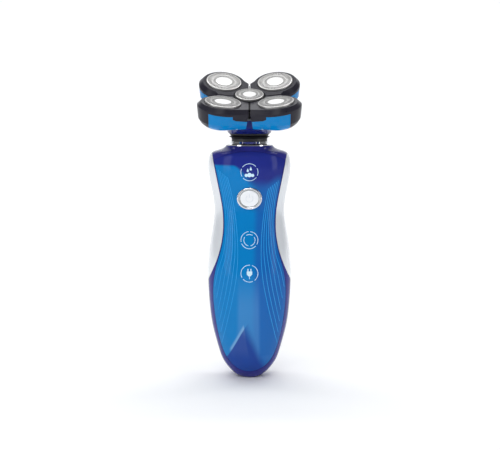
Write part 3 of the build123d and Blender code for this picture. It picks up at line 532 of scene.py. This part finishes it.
class Shades(Enum):
    """Every finish on the shaver; the panel's and the ridges' carry painted light."""

    # The panel's own colour is the azure; every patch laid over it is painted light.
    PANEL = PaintedLightLacquer(
        "panel_lacquer_painted_light",
        AZURE,
        (
            # Painted shade: the right side of the panel turned a darker blue.
            PaintedLight(PAINTED_SHADE_BLUE, (Edge(-3 * MM, 10 * MM, (-0.10, 0.30), (0.09, 0.09), below=True),)),
            # Painted reflection: a dark indigo band across the top of the panel, sharp-edged on the left.
            PaintedLight(
                PAINTED_REFLECTION_INDIGO,
                (
                    Edge(-9 * MM, 4 * MM, (0.1205, 0.1095), (0.0008, 0.0045)),
                    Edge(6 * MM, 16 * MM, (0.1060, 0.1130), (0.0045, 0.0035)),
                ),
            ),
            # Painted highlight: a soft pale band down the middle of the panel, below 52 mm.
            PaintedLight(
                PAINTED_HIGHLIGHT_BLUE,
                (
                    Edge(-8 * MM, -2 * MM, (-0.020, 0.300), (0.090, 0.090), below=True),
                    Edge(1 * MM, 7 * MM, (0.300, -0.020), (0.090, 0.090), below=True),
                    Edge(-9 * MM, 9 * MM, (0.052, 0.052), (0.012, 0.012), below=True),
                ),
                amount=0.55,
            ),
            # Painted highlight: a thin light streak left showing along the bottom wedge's left edge.
            PaintedLight(
                PAINTED_HIGHLIGHT_STREAK,
                (
                    Edge(-19 * MM, 5 * MM, (0.0102, 0.0406), (0.0014, 0.0014), below=True),
                    Edge(-7 * MM, 1 * MM, (0.0500, 0.0120), (0.0030, 0.0030), below=True),
                    Edge(-12 * MM, -9 * MM, (0.0200, 0.0150), (0.0040, 0.0040)),
                ),
                amount=0.5,
            ),
            # Painted reflection: a deep blue wedge rising from the bottom of the panel.
            PaintedLight(
                PAINTED_REFLECTION_DEEP_BLUE,
                (
                    Edge(-19 * MM, 5 * MM, (0.0078, 0.0380), (0.0006, 0.0006), below=True),
                    Edge(-6 * MM, 12 * MM, (0.0350, 0.0040), (0.0090, 0.0050), below=True),
                ),
                amount=0.9,
            ),
        ),
    )
    FRAME = Finish("frame_lacquer", (0.029, 0.032, 0.230), roughness=0.10, coat=0.12, shine=0.08)
    REAR = Finish("indigo_rear", (0.022, 0.022, 0.200), roughness=0.16, coat=0.3, shine=0.3, spread=0.04)
    PEARL = Finish("pearl_lacquer", (0.76, 0.79, 0.83), metallic=0.2, roughness=0.16, coat=0.5, spread=0.03)
    CHROME = Finish("bright_chrome", (0.86, 0.87, 0.89), metallic=1.0, roughness=0.06)
    WHITE = Finish("white_gloss", (0.90, 0.92, 0.95), roughness=0.15, coat=0.4)
    MARK = Finish("pale_print", (0.62, 0.84, 0.98), roughness=0.35)
    FAINT_MARK = Finish("faint_print", (0.68, 0.72, 0.78), roughness=0.3)
    # The ridges are real relief in the panel's plastic; their lighter blue is a painted highlight.
    PAINTED_HIGHLIGHT_RIDGE = Finish("ridge_blue_painted_highlight", (0.025, 0.340, 0.760), roughness=0.14, coat=0.15, shine=0.15)
    HEAD = Finish(
        "satin_dark_grey",
        (0.015, 0.014, 0.023),
        roughness=0.30,
        coat=0.05,
        shine=0.2,
        spread=0.12,
        bump=0.15,
    )
    HUB = Finish("hub_black", (0.008, 0.008, 0.010), roughness=0.4, shine=0.1)
    CUP = Finish("clear_blue", (0.0, 0.250, 0.640), roughness=0.08, coat=0.1, shine=0.1, transmission=0.2)
    BASE = Finish("bowl_lacquer", (0.010, 0.018, 0.170), roughness=0.12, coat=0.15, shine=0.1)
    RUBBER = Finish("bellows_rubber", (0.012, 0.013, 0.016), roughness=0.5, shine=0.3, spread=0.1)
    STEEL = Finish("turned_steel", (0.46, 0.455, 0.45), metallic=0.85, roughness=0.40, spread=0.06)
    DISC = Finish("polished_disc", (0.86, 0.86, 0.86), metallic=0.4, roughness=0.3)
    BLADE = Finish("ground_steel", (0.10, 0.10, 0.11), metallic=0.9, roughness=0.35, spread=0.1)
    NYLON = Finish("natural_nylon", (0.80, 0.78, 0.70), roughness=0.45, spread=0.05)
    BLACK = Finish("moulded_black", (0.02, 0.02, 0.022), roughness=0.45, spread=0.08, bump=0.1)
    GREY = Finish("moulded_grey", (0.16, 0.17, 0.18), roughness=0.5, spread=0.08, bump=0.1)
    BOARD = Finish("solder_mask", (0.010, 0.130, 0.045), roughness=0.3, coat=0.2, spread=0.08)
    LAMP = Finish("lamp_resin", (0.90, 0.88, 0.70), roughness=0.25)
    GUIDE = Finish("clear_guide", (0.80, 0.90, 0.97), roughness=0.1, transmission=0.8)
    SLEEVE = Finish("cell_sleeve", (0.05, 0.22, 0.07), roughness=0.3, coat=0.3)
    NICKEL = Finish("nickel_plate", (0.70, 0.66, 0.58), metallic=1.0, roughness=0.2)
    ZINC = Finish("zinc_plate", (0.55, 0.55, 0.57), metallic=1.0, roughness=0.3, spread=0.1)
    SEAL = Finish("lip_rubber", (0.03, 0.03, 0.035), roughness=0.6)

    def material(self) -> bpy.types.Material:
        """The Blender material of this finish."""
        return self.value.build()


# ---------------------------------------------------------------- Geometry Nodes
class TreeBuilder:
    """A Geometry Nodes tree in the making, with short calls for its nodes and links."""

    def __init__(self, name: str, inputs: dict[str, str]) -> None:
        """Starts a tree with a geometry input and output and the named inputs.

        Args:
            name: The tree's name.
            inputs: Input name to its socket type.
        """
        self.tree = bpy.data.node_groups.new(name, "GeometryNodeTree")
        self.tree.interface.new_socket("Geometry", in_out="INPUT", socket_type="NodeSocketGeometry")
        self.tree.interface.new_socket("Geometry", in_out="OUTPUT", socket_type="NodeSocketGeometry")
        for label, kind in inputs.items():
            self.tree.interface.new_socket(label, in_out="INPUT", socket_type=kind)
        self.given = self.tree.nodes.new("NodeGroupInput")
        self.result = self.tree.nodes.new("NodeGroupOutput")

    def node(self, kind: str, **settings: object) -> bpy.types.Node:
        """Adds one node and sets its properties.

        Args:
            kind: The node's type.
            **settings: Property names and values.

        Returns:
            The node.
        """
        made = self.tree.nodes.new(kind)
        for key, value in settings.items():
            setattr(made, key, value)
        return made

    def link(self, source: bpy.types.NodeSocket, target: bpy.types.NodeSocket) -> None:
        """Joins two sockets."""
        self.tree.links.new(source, target)

    def maths(self, operation: str, first: object, second: object) -> bpy.types.NodeSocket:
        """Adds a Math node.

        Args:
            operation: What it does.
            first: A socket or a number.
            second: A socket or a number.

        Returns:
            The socket with its result.
        """
        made = self.node("ShaderNodeMath", operation=operation)
        for slot, value in zip(made.inputs, (first, second)):
            if isinstance(value, bpy.types.NodeSocket):
                self.link(value, slot)
            else:
                slot.default_value = value
        return made.outputs[0]


def slotted_track_tree() -> bpy.types.NodeTree:
    """The tree that adds a ring of radial ribs, with open slots between them, to a turned cap.

    Returns:
        The tree, made once and shared.
    """
    made = bpy.data.node_groups.get("slotted_track")
    if made:
        return made
    build = TreeBuilder(
        "slotted_track",
        {
            "Inner Radius": "NodeSocketFloat",
            "Outer Radius": "NodeSocketFloat",
            "Top": "NodeSocketFloat",
            "Thickness": "NodeSocketFloat",
            "Rib Width": "NodeSocketFloat",
            "Ribs": "NodeSocketInt",
            "Slant": "NodeSocketFloat",
            "Finish": "NodeSocketMaterial",
        },
    )
    given = build.given.outputs
    middle = build.maths("MULTIPLY", build.maths("ADD", given["Inner Radius"], given["Outer Radius"]), 0.5)
    length = build.maths("SUBTRACT", given["Outer Radius"], given["Inner Radius"])
    circle = build.node("GeometryNodeMeshCircle", fill_type="NONE")
    build.link(given["Ribs"], circle.inputs["Vertices"])
    build.link(middle, circle.inputs["Radius"])
    size = build.node("ShaderNodeCombineXYZ")
    build.link(length, size.inputs[0])
    build.link(given["Rib Width"], size.inputs[1])
    build.link(given["Thickness"], size.inputs[2])
    rib = build.node("GeometryNodeMeshCube")
    build.link(size.outputs[0], rib.inputs["Size"])
    turn = build.maths("DIVIDE", 2 * math.pi, given["Ribs"])
    angle = build.maths("MULTIPLY", build.node("GeometryNodeInputIndex").outputs[0], turn)
    heading = build.node("ShaderNodeCombineXYZ")
    build.link(build.maths("ADD", angle, given["Slant"]), heading.inputs[2])
    spread = build.node("GeometryNodeInstanceOnPoints")
    build.link(circle.outputs["Mesh"], spread.inputs["Points"])
    build.link(rib.outputs["Mesh"], spread.inputs["Instance"])
    build.link(heading.outputs[0], spread.inputs["Rotation"])
    drop = build.maths("MULTIPLY", given["Thickness"], 0.5)
    lift = build.node("ShaderNodeCombineXYZ")
    build.link(build.maths("SUBTRACT", given["Top"], drop), lift.inputs[2])
    raised = build.node("GeometryNodeTransform")
    build.link(spread.outputs["Instances"], raised.inputs["Geometry"])
    build.link(lift.outputs[0], raised.inputs["Translation"])
    real = build.node("GeometryNodeRealizeInstances")
    build.link(raised.outputs["Geometry"], real.inputs["Geometry"])
    dressed = build.node("GeometryNodeSetMaterial")
    build.link(real.outputs["Geometry"], dressed.inputs["Geometry"])
    build.link(given["Finish"], dressed.inputs["Material"])
    joined = build.node("GeometryNodeJoinGeometry")
    build.link(dressed.outputs["Geometry"], joined.inputs["Geometry"])
    build.link(given["Geometry"], joined.inputs["Geometry"])
    build.link(joined.outputs["Geometry"], build.result.inputs["Geometry"])
    return build.tree


def raised_line_tree() -> bpy.types.NodeTree:
    """The tree that sweeps a round bead along every line of a mesh made of edges.

    Returns:
        The tree, made once and shared.
    """
    made = bpy.data.node_groups.get("raised_line")
    if made:
        return made
    build = TreeBuilder(
        "raised_line",
        {
            "Bead Radius": "NodeSocketFloat",
            "Spacing": "NodeSocketFloat",
            "Sides": "NodeSocketInt",
            "Finish": "NodeSocketMaterial",
        },
    )
    given = build.given.outputs
    curve = build.node("GeometryNodeMeshToCurve")
    build.link(given["Geometry"], curve.inputs["Mesh"])
    even = build.node("GeometryNodeResampleCurve", mode="LENGTH")
    build.link(curve.outputs["Curve"], even.inputs["Curve"])
    build.link(given["Spacing"], even.inputs["Length"])
    bead = build.node("GeometryNodeCurvePrimitiveCircle", mode="RADIUS")
    build.link(given["Sides"], bead.inputs["Resolution"])
    build.link(given["Bead Radius"], bead.inputs["Radius"])
    swept = build.node("GeometryNodeCurveToMesh")
    swept.inputs["Fill Caps"].default_value = True
    build.link(even.outputs["Curve"], swept.inputs["Curve"])
    build.link(bead.outputs["Curve"], swept.inputs["Profile Curve"])
    real = build.node("GeometryNodeRealizeInstances")
    build.link(swept.outputs["Mesh"], real.inputs["Geometry"])
    dressed = build.node("GeometryNodeSetMaterial")
    build.link(real.outputs["Geometry"], dressed.inputs["Geometry"])
    build.link(given["Finish"], dressed.inputs["Material"])
    build.link(dressed.outputs["Geometry"], build.result.inputs["Geometry"])
    return build.tree


def grown(mesh: bpy.types.Mesh, stages: Iterable[Stage]) -> bpy.types.Mesh:
    """Runs Geometry Nodes trees on a mesh and gives the plain result.

    Args:
        mesh: The mesh to start from.
        stages: Each tree with the values of its named inputs.

    Returns:
        A new mesh that depends on nothing else.
    """
    holder = bpy.data.objects.new("holder", mesh)
    bpy.context.scene.collection.objects.link(holder)
    for tree, values in stages:
        modifier = holder.modifiers.new(tree.name, "NODES")
        modifier.node_group = tree
        for item in tree.interface.items_tree:
            if item.item_type == "SOCKET" and item.in_out == "INPUT" and item.name in values:
                modifier[item.identifier] = values[item.name]
    bpy.context.view_layer.update()
    evaluated = holder.evaluated_get(bpy.context.evaluated_depsgraph_get())
    result = bpy.data.meshes.new_from_object(evaluated)
    holder.modifiers.clear()
    bpy.data.objects.remove(holder)
    return result


# ---------------------------------------------------------------- shaving caps
@dataclass
class SlottedCap:
    """A steel cap with two slotted tracks round a polished disc. Sizes are for the CAD cap's radius."""

    node: str
    body: str
    spin_joint: str
    radius: float
    proud: float
    outer_ribs: int
    inner_ribs: int
    sheet: float = 0.35 * MM
    skirt: float = 2.9 * MM
    wall: float = 0.5 * MM
    lap: float = 0.1 * MM
    round_over: float = 0.15 * MM
    rib_share: float = 0.45
    outer_track: Point = (0.70, 0.935)
    inner_track: Point = (0.45, 0.62)
    slant: float = 0.22
    segments: int = 96

    def turned(self) -> bpy.types.Mesh:
        """Turns the rims, the ring between the tracks, the disc and the skirt.

        Returns:
            One mesh with its centre on Z and the plate's top at the origin.
        """
        top = self.proud
        r = self.radius
        low = top - self.sheet
        rim = [
            (self.outer_track[1] * r - self.lap, low),
            (self.outer_track[1] * r - self.lap, top),
            (r - 0.35 * MM, top),
            (r - 0.1 * MM, top - self.round_over),
            (r, top - 0.5 * MM),
            (r, top - self.skirt),
            (r - self.wall, top - self.skirt),
            (r - self.wall, low),
        ]
        ring = [
            (self.inner_track[1] * r - self.lap, low),
            (self.inner_track[1] * r - self.lap, top),
            (self.inner_track[1] * r + 0.25 * MM, top),
            (self.inner_track[1] * r + 0.4 * MM, top - self.round_over),
            (self.outer_track[0] * r - 0.25 * MM, top - self.round_over),
            (self.outer_track[0] * r - 0.1 * MM, top),
            (self.outer_track[0] * r + self.lap, top),
            (self.outer_track[0] * r + self.lap, low),
        ]
        disc_edge = self.inner_track[0] * r
        disc = [
            (0.0, low),
            (0.0, top + 0.02 * MM),
            (disc_edge * 0.6, top),
            (disc_edge * 0.9, top - 0.05 * MM),
            (disc_edge + self.lap, top - 0.1 * MM),
            (disc_edge + self.lap, low),
        ]
        bm = bmesh.new()
        for index, outline in enumerate((rim, ring, disc)):
            part = lathe(outline, self.segments)
            start = len(bm.faces)
            bm.from_mesh(part)
            bm.faces.ensure_lookup_table()
            for face in bm.faces[start:]:
                face.material_index = 1 if index == 2 else 0
            bpy.data.meshes.remove(part)
        mesh = bpy.data.meshes.new(self.node)
        bm.to_mesh(mesh)
        bm.free()
        mesh.materials.append(Shades.STEEL.material())
        mesh.materials.append(Shades.DISC.material())
        return mesh

    def track(self, span: Point, ribs: int, slant: float) -> Stage:
        """One slotted track as a Geometry Nodes stage.

        Args:
            span: The track's inner and outer radius as shares of the cap's.
            ribs: How many ribs it has.
            slant: How far they lean from straight out, in radians.

        Returns:
            The tree and its inputs.
        """
        middle = (span[0] + span[1]) / 2 * self.radius
        values = {
            "Inner Radius": span[0] * self.radius,
            "Outer Radius": span[1] * self.radius,
            "Top": self.proud - 0.02 * MM,
            "Thickness": self.sheet - 0.04 * MM,
            "Rib Width": 2 * math.pi * middle / ribs * self.rib_share,
            "Ribs": ribs,
            "Slant": slant,
            "Finish": Shades.STEEL.material(),
        }
        return slotted_track_tree(), values

    def build(self) -> bpy.types.Object:
        """Makes the cap in place of the plain CAD one.

        Returns:
            The piece.
        """
        joint = joint_named(self.spin_joint)
        stages = [
            self.track(self.outer_track, self.outer_ribs, self.slant),
            self.track(self.inner_track, self.inner_ribs, -self.slant),
        ]
        mesh = grown(self.turned(), stages)
        mesh.transform(place_on(Vector(joint["axis"]).normalized(), Vector(joint["pos_m"])))
        piece = new_piece(f"{self.node}_slotted", mesh, self.body)
        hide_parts(self.node)
        return piece


# ---------------------------------------------------------------- the front panel's relief and prints
class PanelSurface:
    """The outside of the front panel, for laying lines and prints on it."""

    def __init__(self) -> None:
        """Reads the CAD panel's mesh."""
        mesh = frame["nodes"]["front_panel"].data
        corners = [vertex.co.copy() for vertex in mesh.vertices]
        self.tree = BVHTree.FromPolygons(corners, [tuple(face.vertices) for face in mesh.polygons])

    def at(self, x: float, z: float, proud: float = 0.0) -> Vector | None:
        """The point of the panel in front of a place in the front view.

        Args:
            x: Distance to the right of the middle, in metres.
            z: Height, in metres.
            proud: How far the point stands out of the panel.

        Returns:
            The point, or None where the panel isn't.
        """
        hit, normal, _, _ = self.tree.ray_cast(Vector((x, -0.06, z)), Vector((0.0, 1.0, 0.0)))
        if hit is None:
            return None
        outwards = normal if normal.y < 0 else -normal
        return hit + outwards * proud


def lines_mesh(lines: Sequence[Sequence[Vector]]) -> bpy.types.Mesh:
    """A mesh of edges only, one run of edges for each line."""
    points: list[Vector] = []
    edges: list[tuple[int, int]] = []
    for line in lines:
        first = len(points)
        points.extend(line)
        edges.extend((first + i, first + i + 1) for i in range(len(line) - 1))
    mesh = bpy.data.meshes.new("lines")
    mesh.from_pydata(points, edges, [])
    return mesh


@dataclass
class FlowLines:
    """Fine ridges that follow the waist down each side of the panel and fan out over the grip."""

    lines: int = 6
    top: float = 118.0
    right_drop: float = 6.0
    bottom_outer: float = 53.0
    bottom_inner: float = 21.0
    bead: float = 0.19 * MM
    sunk: float = 0.05 * MM
    outer_edge: Sequence[Point] = (
        (118.0, 17.0),
        (103.0, 14.2),
        (95.0, 13.2),
        (84.0, 12.9),
        (72.0, 14.4),
        (62.0, 17.4),
        (53.0, 19.2),
    )
    inner_edge: Sequence[Point] = (
        (118.0, 13.0),
        (103.0, 9.4),
        (88.0, 7.2),
        (72.0, 6.4),
        (58.0, 7.4),
        (45.0, 9.8),
        (32.0, 12.8),
        (21.0, 15.4),
    )

    def build(self, surface: PanelSurface) -> bpy.types.Object:
        """Lays the ridges on the panel.

        Args:
            surface: The panel.

        Returns:
            The piece.
        """
        runs: list[list[Vector]] = []
        for side, drop in ((-1, 0.0), (1, self.right_drop)):
            for share in steps(0.0, 1.0, self.lines):
                end = self.bottom_outer + (self.bottom_inner - self.bottom_outer) * share
                run: list[Vector] = []
                for z in steps(self.top - drop - 4.0 * share, end, 60):
                    outer = self.spline(self.outer_edge, z)
                    inner = self.spline(self.inner_edge, z)
                    x = outer + (inner - outer) * share
                    spot = surface.at(side * x * MM, z * MM, -self.sunk)
                    if spot is not None:
                        run.append(spot)
                runs.append(run)
        # The ridges' lighter blue is a painted highlight on real relief.
        values = {
            "Bead Radius": self.bead,
            "Spacing": 1.2 * MM,
            "Sides": 8,
            "Finish": Shades.PAINTED_HIGHLIGHT_RIDGE.material(),
        }
        mesh = grown(lines_mesh(runs), [(raised_line_tree(), values)])
        piece = new_piece("panel_flow_lines", mesh, "handle")
        return piece

    @staticmethod
    def spline(table: Sequence[Point], at: float) -> float:
        """Reads a table with a smooth curve through its rows, carried straight on past its ends."""
        rows = sorted(table)
        if at <= rows[0][0]:
            (z0, x0), (z1, x1) = rows[:2]
            return x0 + (x1 - x0) * (at - z0) / (z1 - z0)
        slopes = [(b[1] - a[1]) / (b[0] - a[0]) for a, b in zip(rows, rows[1:])]
        tangents = [slopes[0], *[(a + b) / 2 for a, b in zip(slopes, slopes[1:])], slopes[-1]]
        for i, ((low, start), (high, end)) in enumerate(zip(rows, rows[1:])):
            if at <= high:
                span = high - low
                t = (at - low) / span
                return (
                    (2 * t**3 - 3 * t**2 + 1) * start
                    + (t**3 - 2 * t**2 + t) * span * tangents[i]
                    + (3 * t**2 - 2 * t**3) * end
                    + (t**3 - t**2) * span * tangents[i + 1]
                )
        return rows[-1][1]


@dataclass
class PanelPrints:
    """The three round pictures printed on the panel and the mark on the button."""

    ring: float = 4.65
    line: float = 0.19 * MM
    charge_z: float = 61.6
    timer_z: float = 79.8
    wash_z: float = 117.0
    mark_radius: float = 1.9 * MM
    mark_line: float = 0.14 * MM
    mark_sunk: float = 0.01 * MM
    mark_gap: float = 0.7

    def arc(self, centre_z: float, radius: float, start: float, end: float, count: int = 24) -> list[Point]:
        """Points of an arc in the front view, in millimetres, with angles in degrees from the right."""
        return [
            (radius * math.cos(math.radians(a)), centre_z + radius * math.sin(math.radians(a)))
            for a in steps(start, end, count)
        ]

    def broken_ring(
        self, centre_z: float, radius: float, gaps: Sequence[float], gap: float
    ) -> list[list[Point]]:
        """A ring with gaps in it.

        Args:
            centre_z: The height of its middle.
            radius: Its radius.
            gaps: The angles at which it is broken, in rising order.
            gap: How many degrees each break takes.

        Returns:
            The arcs between the breaks.
        """
        arcs = []
        for here, following in zip(gaps, [*gaps[1:], gaps[0] + 360]):
            arcs.append(self.arc(centre_z, radius, here + gap / 2, following - gap / 2))
        return arcs

    def droplet(self, x: float, z: float, size: float) -> list[Point]:
        """The closed outline of a falling drop."""
        round_part = [
            (x + size * math.cos(math.radians(a)), z + size * math.sin(math.radians(a)))
            for a in steps(150, 390, 16)
        ]
        return [*round_part, (x, z + size * 2.4)]

    def filled(self, surface: PanelSurface, outline: Sequence[Point], thickness: float) -> bpy.types.Mesh:
        """A thin closed patch on the panel with the given outline.

        Args:
            surface: The panel.
            outline: Its corners in the front view, in millimetres.
            thickness: How far it stands out.

        Returns:
            The mesh.
        """
        bm = bmesh.new()
        middle = (
            sum(x for x, _ in outline) / len(outline),
            sum(z for _, z in outline) / len(outline),
        )
        loops = []
        for proud in (-0.05 * MM, thickness):
            loops.append([bm.verts.new(surface.at(x * MM, z * MM, proud)) for x, z in outline])
            loops[-1].append(bm.verts.new(surface.at(middle[0] * MM, middle[1] * MM, proud)))
        under, over = loops
        count = len(outline)
        for i in range(count):
            j = (i + 1) % count
            bm.faces.new((over[i], over[j], over[count]))
            bm.faces.new((under[j], under[i], under[count]))
            bm.faces.new((under[i], under[j], over[j], over[i]))
        bmesh.ops.recalc_face_normals(bm, faces=bm.faces)
        mesh = bpy.data.meshes.new("patch")
        bm.to_mesh(mesh)
        bm.free()
        mesh.materials.append(Shades.MARK.material())
        return mesh

    def printed(self, surface: PanelSurface, name: str, strokes: Sequence[Sequence[Point]], fills) -> None:
        """Prints strokes and filled shapes on the panel as one piece.

        Args:
            surface: The panel.
            name: The piece's name.
            strokes: Lines in the front view, in millimetres.
            fills: Closed outlines to fill.
        """
        lines = [[surface.at(x * MM, z * MM, -0.06 * MM) for x, z in stroke] for stroke in strokes]
        values = {
            "Bead Radius": self.line,
            "Spacing": 0.35 * MM,
            "Sides": 8,
            "Finish": Shades.MARK.material(),
        }
        mesh = grown(lines_mesh(lines), [(raised_line_tree(), values)])
        bm = bmesh.new()
        bm.from_mesh(mesh)
        for outline in fills:
            patch = self.filled(surface, outline, 0.10 * MM)
            bm.from_mesh(patch)
            bpy.data.meshes.remove(patch)
        bm.to_mesh(mesh)
        bm.free()
        piece = new_piece(name, mesh, "handle")

    def wash(self, surface: PanelSurface) -> None:
        """Two drops over foam in a broken ring: the shaver can be rinsed."""
        z = self.wash_z
        rings = self.broken_ring(z, self.ring, (35, 150, 215, 330), 14)
        foam = [
            self.arc(z - 1.5, 1.2, 0, 350, 16),
            [(x - 1.7, w) for x, w in self.arc(z - 1.7, 0.9, 0, 350, 14)],
            [(x + 1.7, w) for x, w in self.arc(z - 1.7, 0.9, 0, 350, 14)],
        ]
        drops = [self.droplet(-0.9, z + 0.7, 0.6), self.droplet(0.7, z + 1.6, 0.6)]
        self.printed(surface, "print_wash", rings, [*drops, *foam])

    def timer(self, surface: PanelSurface) -> None:
        """One broken ring in another."""
        rings = self.broken_ring(self.timer_z, self.ring, (90, 198, 324), 12)
        rings += self.broken_ring(self.timer_z, self.ring * 0.66, (45, 135, 270), 24)
        self.printed(surface, "print_timer", rings, [])

    def charge(self, surface: PanelSurface) -> None:
        """A plug in a broken ring: charging."""
        z = self.charge_z
        rings = self.broken_ring(z, self.ring, (80, 215, 300), 14)
        half, shoulder, neck = 1.5, -0.4, 0.6
        body = [
            (-half, z + 1.2),
            (half, z + 1.2),
            (half, z + shoulder),
            (neck, z - 1.5),
            (-neck, z - 1.5),
            (-half, z + shoulder),
        ]
        thin, tip, root = 0.28, 2.6, 1.1
        prongs = [
            [(x - thin, z + tip), (x + thin, z + tip), (x + thin, z + root), (x - thin, z + root)]
            for x in (-0.8, 0.8)
        ]
        lead = [[(0.0, z - 1.5), (0.0, z - 2.9)]]
        self.printed(surface, "print_charge", rings + lead, [body, *prongs])

    def button_mark(self) -> None:
        """A faint upright stroke in an open ring on the button."""
        low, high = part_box("power_button")
        middle_z = (low.z + high.z) / 2
        mark_y = low.y - self.mark_sunk
        ring = [
            Vector((self.mark_radius * math.sin(a), mark_y, middle_z + self.mark_radius * math.cos(a)))
            for a in steps(self.mark_gap, 2 * math.pi - self.mark_gap, 40)
        ]
        stroke = [Vector((0.0, mark_y, middle_z + z * MM)) for z in steps(0.6, 2.6, 8)]
        values = {
            "Bead Radius": self.mark_line,
            "Spacing": 0.3 * MM,
            "Sides": 8,
            "Finish": Shades.FAINT_MARK.material(),
        }
        mesh = grown(lines_mesh([ring, stroke]), [(raised_line_tree(), values)])
        piece = new_piece("button_mark", mesh, "button")

    def build(self, surface: PanelSurface) -> None:
        """Prints everything."""
        self.wash(surface)
        self.timer(surface)
        self.charge(surface)
        self.button_mark()


# ---------------------------------------------------------------- the neck's rubber boot
@dataclass
class NeckBoot:
    """The rubber bellows between collar and head, in two stages."""

    segments: int = 72
    fold_height: float = 0.95 * MM
    fold_bore: float = 10.15 * MM  # wider than the neck socket, which it pitches over

    def stage(self, name: str, outline: Sequence[Point]) -> bpy.types.Object:
        """Turns one stage of the boot.

        Args:
            name: The piece's name.
            outline: Its closed outline as (radius, height), in metres.

        Returns:
            The piece.
        """
        mesh = lathe(outline, self.segments)
        mesh.materials.append(Shades.RUBBER.material())
        mesh.polygons.foreach_set("use_smooth", [True] * len(mesh.polygons))
        mesh.set_sharp_from_angle(angle=math.radians(50))
        piece = bpy.data.objects.new(name, mesh)
        bpy.context.scene.collection.objects.link(piece)
        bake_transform(piece)
        log.info("%s: %d faces", name, len(mesh.polygons))
        return piece

    def build(self) -> None:
        """Makes both stages in place of the plain CAD ring."""
        low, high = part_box("neck_boot")
        base, top = low.z, high.z
        middle = base + self.fold_height  # low enough for the head's flange to roll over it
        below = [
            (9.2 * MM, base),
            (10.0 * MM, base),
            (10.2 * MM, base + 0.25 * MM),
            (10.0 * MM, base + 0.45 * MM),
            (10.8 * MM, base + 0.7 * MM),
            (11.3 * MM, middle),
            (self.fold_bore, middle),
        ]
        above = [
            (self.fold_bore, middle),
            (11.3 * MM, middle),
            (10.6 * MM, middle + 0.35 * MM),
            (10.2 * MM, middle + 0.6 * MM),
            (11.0 * MM, top - 0.45 * MM),
            (11.0 * MM, top),
            (9.3 * MM, top),
        ]
        lower = self.stage("boot_lower_fold", below)
        upper = self.stage("boot_upper_fold", above)
        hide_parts("neck_boot")
        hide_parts("neck_boot")


# ---------------------------------------------------------------- finishes on the CAD nodes
POD_NAMES = ("front_left", "front_right", "rear_left", "rear_right")
NODE_FINISHES: dict[str, Shades] = {
    "front_panel": Shades.PANEL,
    "handle_frame": Shades.FRAME,
    "side_trim_left": Shades.PEARL,
    "side_trim_right": Shades.PEARL,
    "rear_housing": Shades.REAR,
    "button_bezel": Shades.CHROME,
    "power_button": Shades.WHITE,
    "circuit_board": Shades.BOARD,
    "tact_switch": Shades.BLACK,
    "indicator_leds": Shades.LAMP,
    "light_guides": Shades.GUIDE,
    "chassis": Shades.GREY,
    "chassis_screws": Shades.ZINC,
    "battery": Shades.SLEEVE,
    "battery_contacts": Shades.NICKEL,
    "motor": Shades.ZINC,
    "motor_mount": Shades.GREY,
    "motor_screws": Shades.ZINC,
    "shaft_seal": Shades.SEAL,
    "charge_socket": Shades.BLACK,
    "inlet_contacts": Shades.NICKEL,
    "neck_collar": Shades.CHROME,
    "motor_shaft": Shades.ZINC,
    "drive_ball": Shades.NYLON,
    "neck_socket": Shades.BLACK,
    "neck_boot": Shades.RUBBER,
    "gimbal_ring": Shades.ZINC,
    "head_base": Shades.BASE,
    "gear_plate": Shades.GREY,
    "hub_ring": Shades.HUB,
    "hinge_pins": Shades.ZINC,
    "sun_gear": Shades.NYLON,
    "drive_socket": Shades.NYLON,
    "cap_centre": Shades.STEEL,
    "cutter_centre": Shades.BLADE,
}
POD_FINISHES: dict[str, Shades] = {
    "pod_frame": Shades.HEAD,
    "pod_cup": Shades.CUP,
    "cap": Shades.STEEL,
    "cutter": Shades.BLADE,
    "planet_gear": Shades.NYLON,
}


def dress_frame() -> None:
    """Gives every CAD node its finish."""
    finishes = dict(NODE_FINISHES)
    for pod in POD_NAMES:
        finishes.update({f"{kind}_{pod}": finish for kind, finish in POD_FINISHES.items()})
    for node, finish in finishes.items():
        piece = frame["nodes"][node]
        if not piece.data.materials:
            piece.data.materials.append(None)
        for slot in piece.material_slots:
            slot.material = finish.material()
        log.info("%s: %s", node, finish.value.name)


def corners(box: tuple[Vector, Vector]) -> list[list[float]]:
    """A box's two corners as plain lists."""
    return [list(corner) for corner in box]


def main() -> None:
    """Builds the studio and every piece, in order."""
    logging.basicConfig(level=logging.INFO, format="%(name)s %(message)s")
    studio = Studio()
    studio.camera()
    studio.build()
    dress_frame()
    surface = PanelSurface()
    FlowLines().build(surface)
    PanelPrints().build(surface)
    NeckBoot().build()
    SlottedCap(
        node="cap_centre",
        body="centre_cap",
        spin_joint="centre_cutter_spin",
        radius=7.85 * MM,
        proud=0.0,
        outer_ribs=48,
        inner_ribs=32,
    ).build()
    for pod in POD_NAMES:
        SlottedCap(
            node=f"cap_{pod}",
            body=f"cap_{pod}",
            spin_joint=f"cutter_spin_{pod}",
            radius=9.75 * MM,
            proud=0.9 * MM,
            outer_ribs=60,
            inner_ribs=40,
        ).build()


if __name__ == "__main__":
    main()
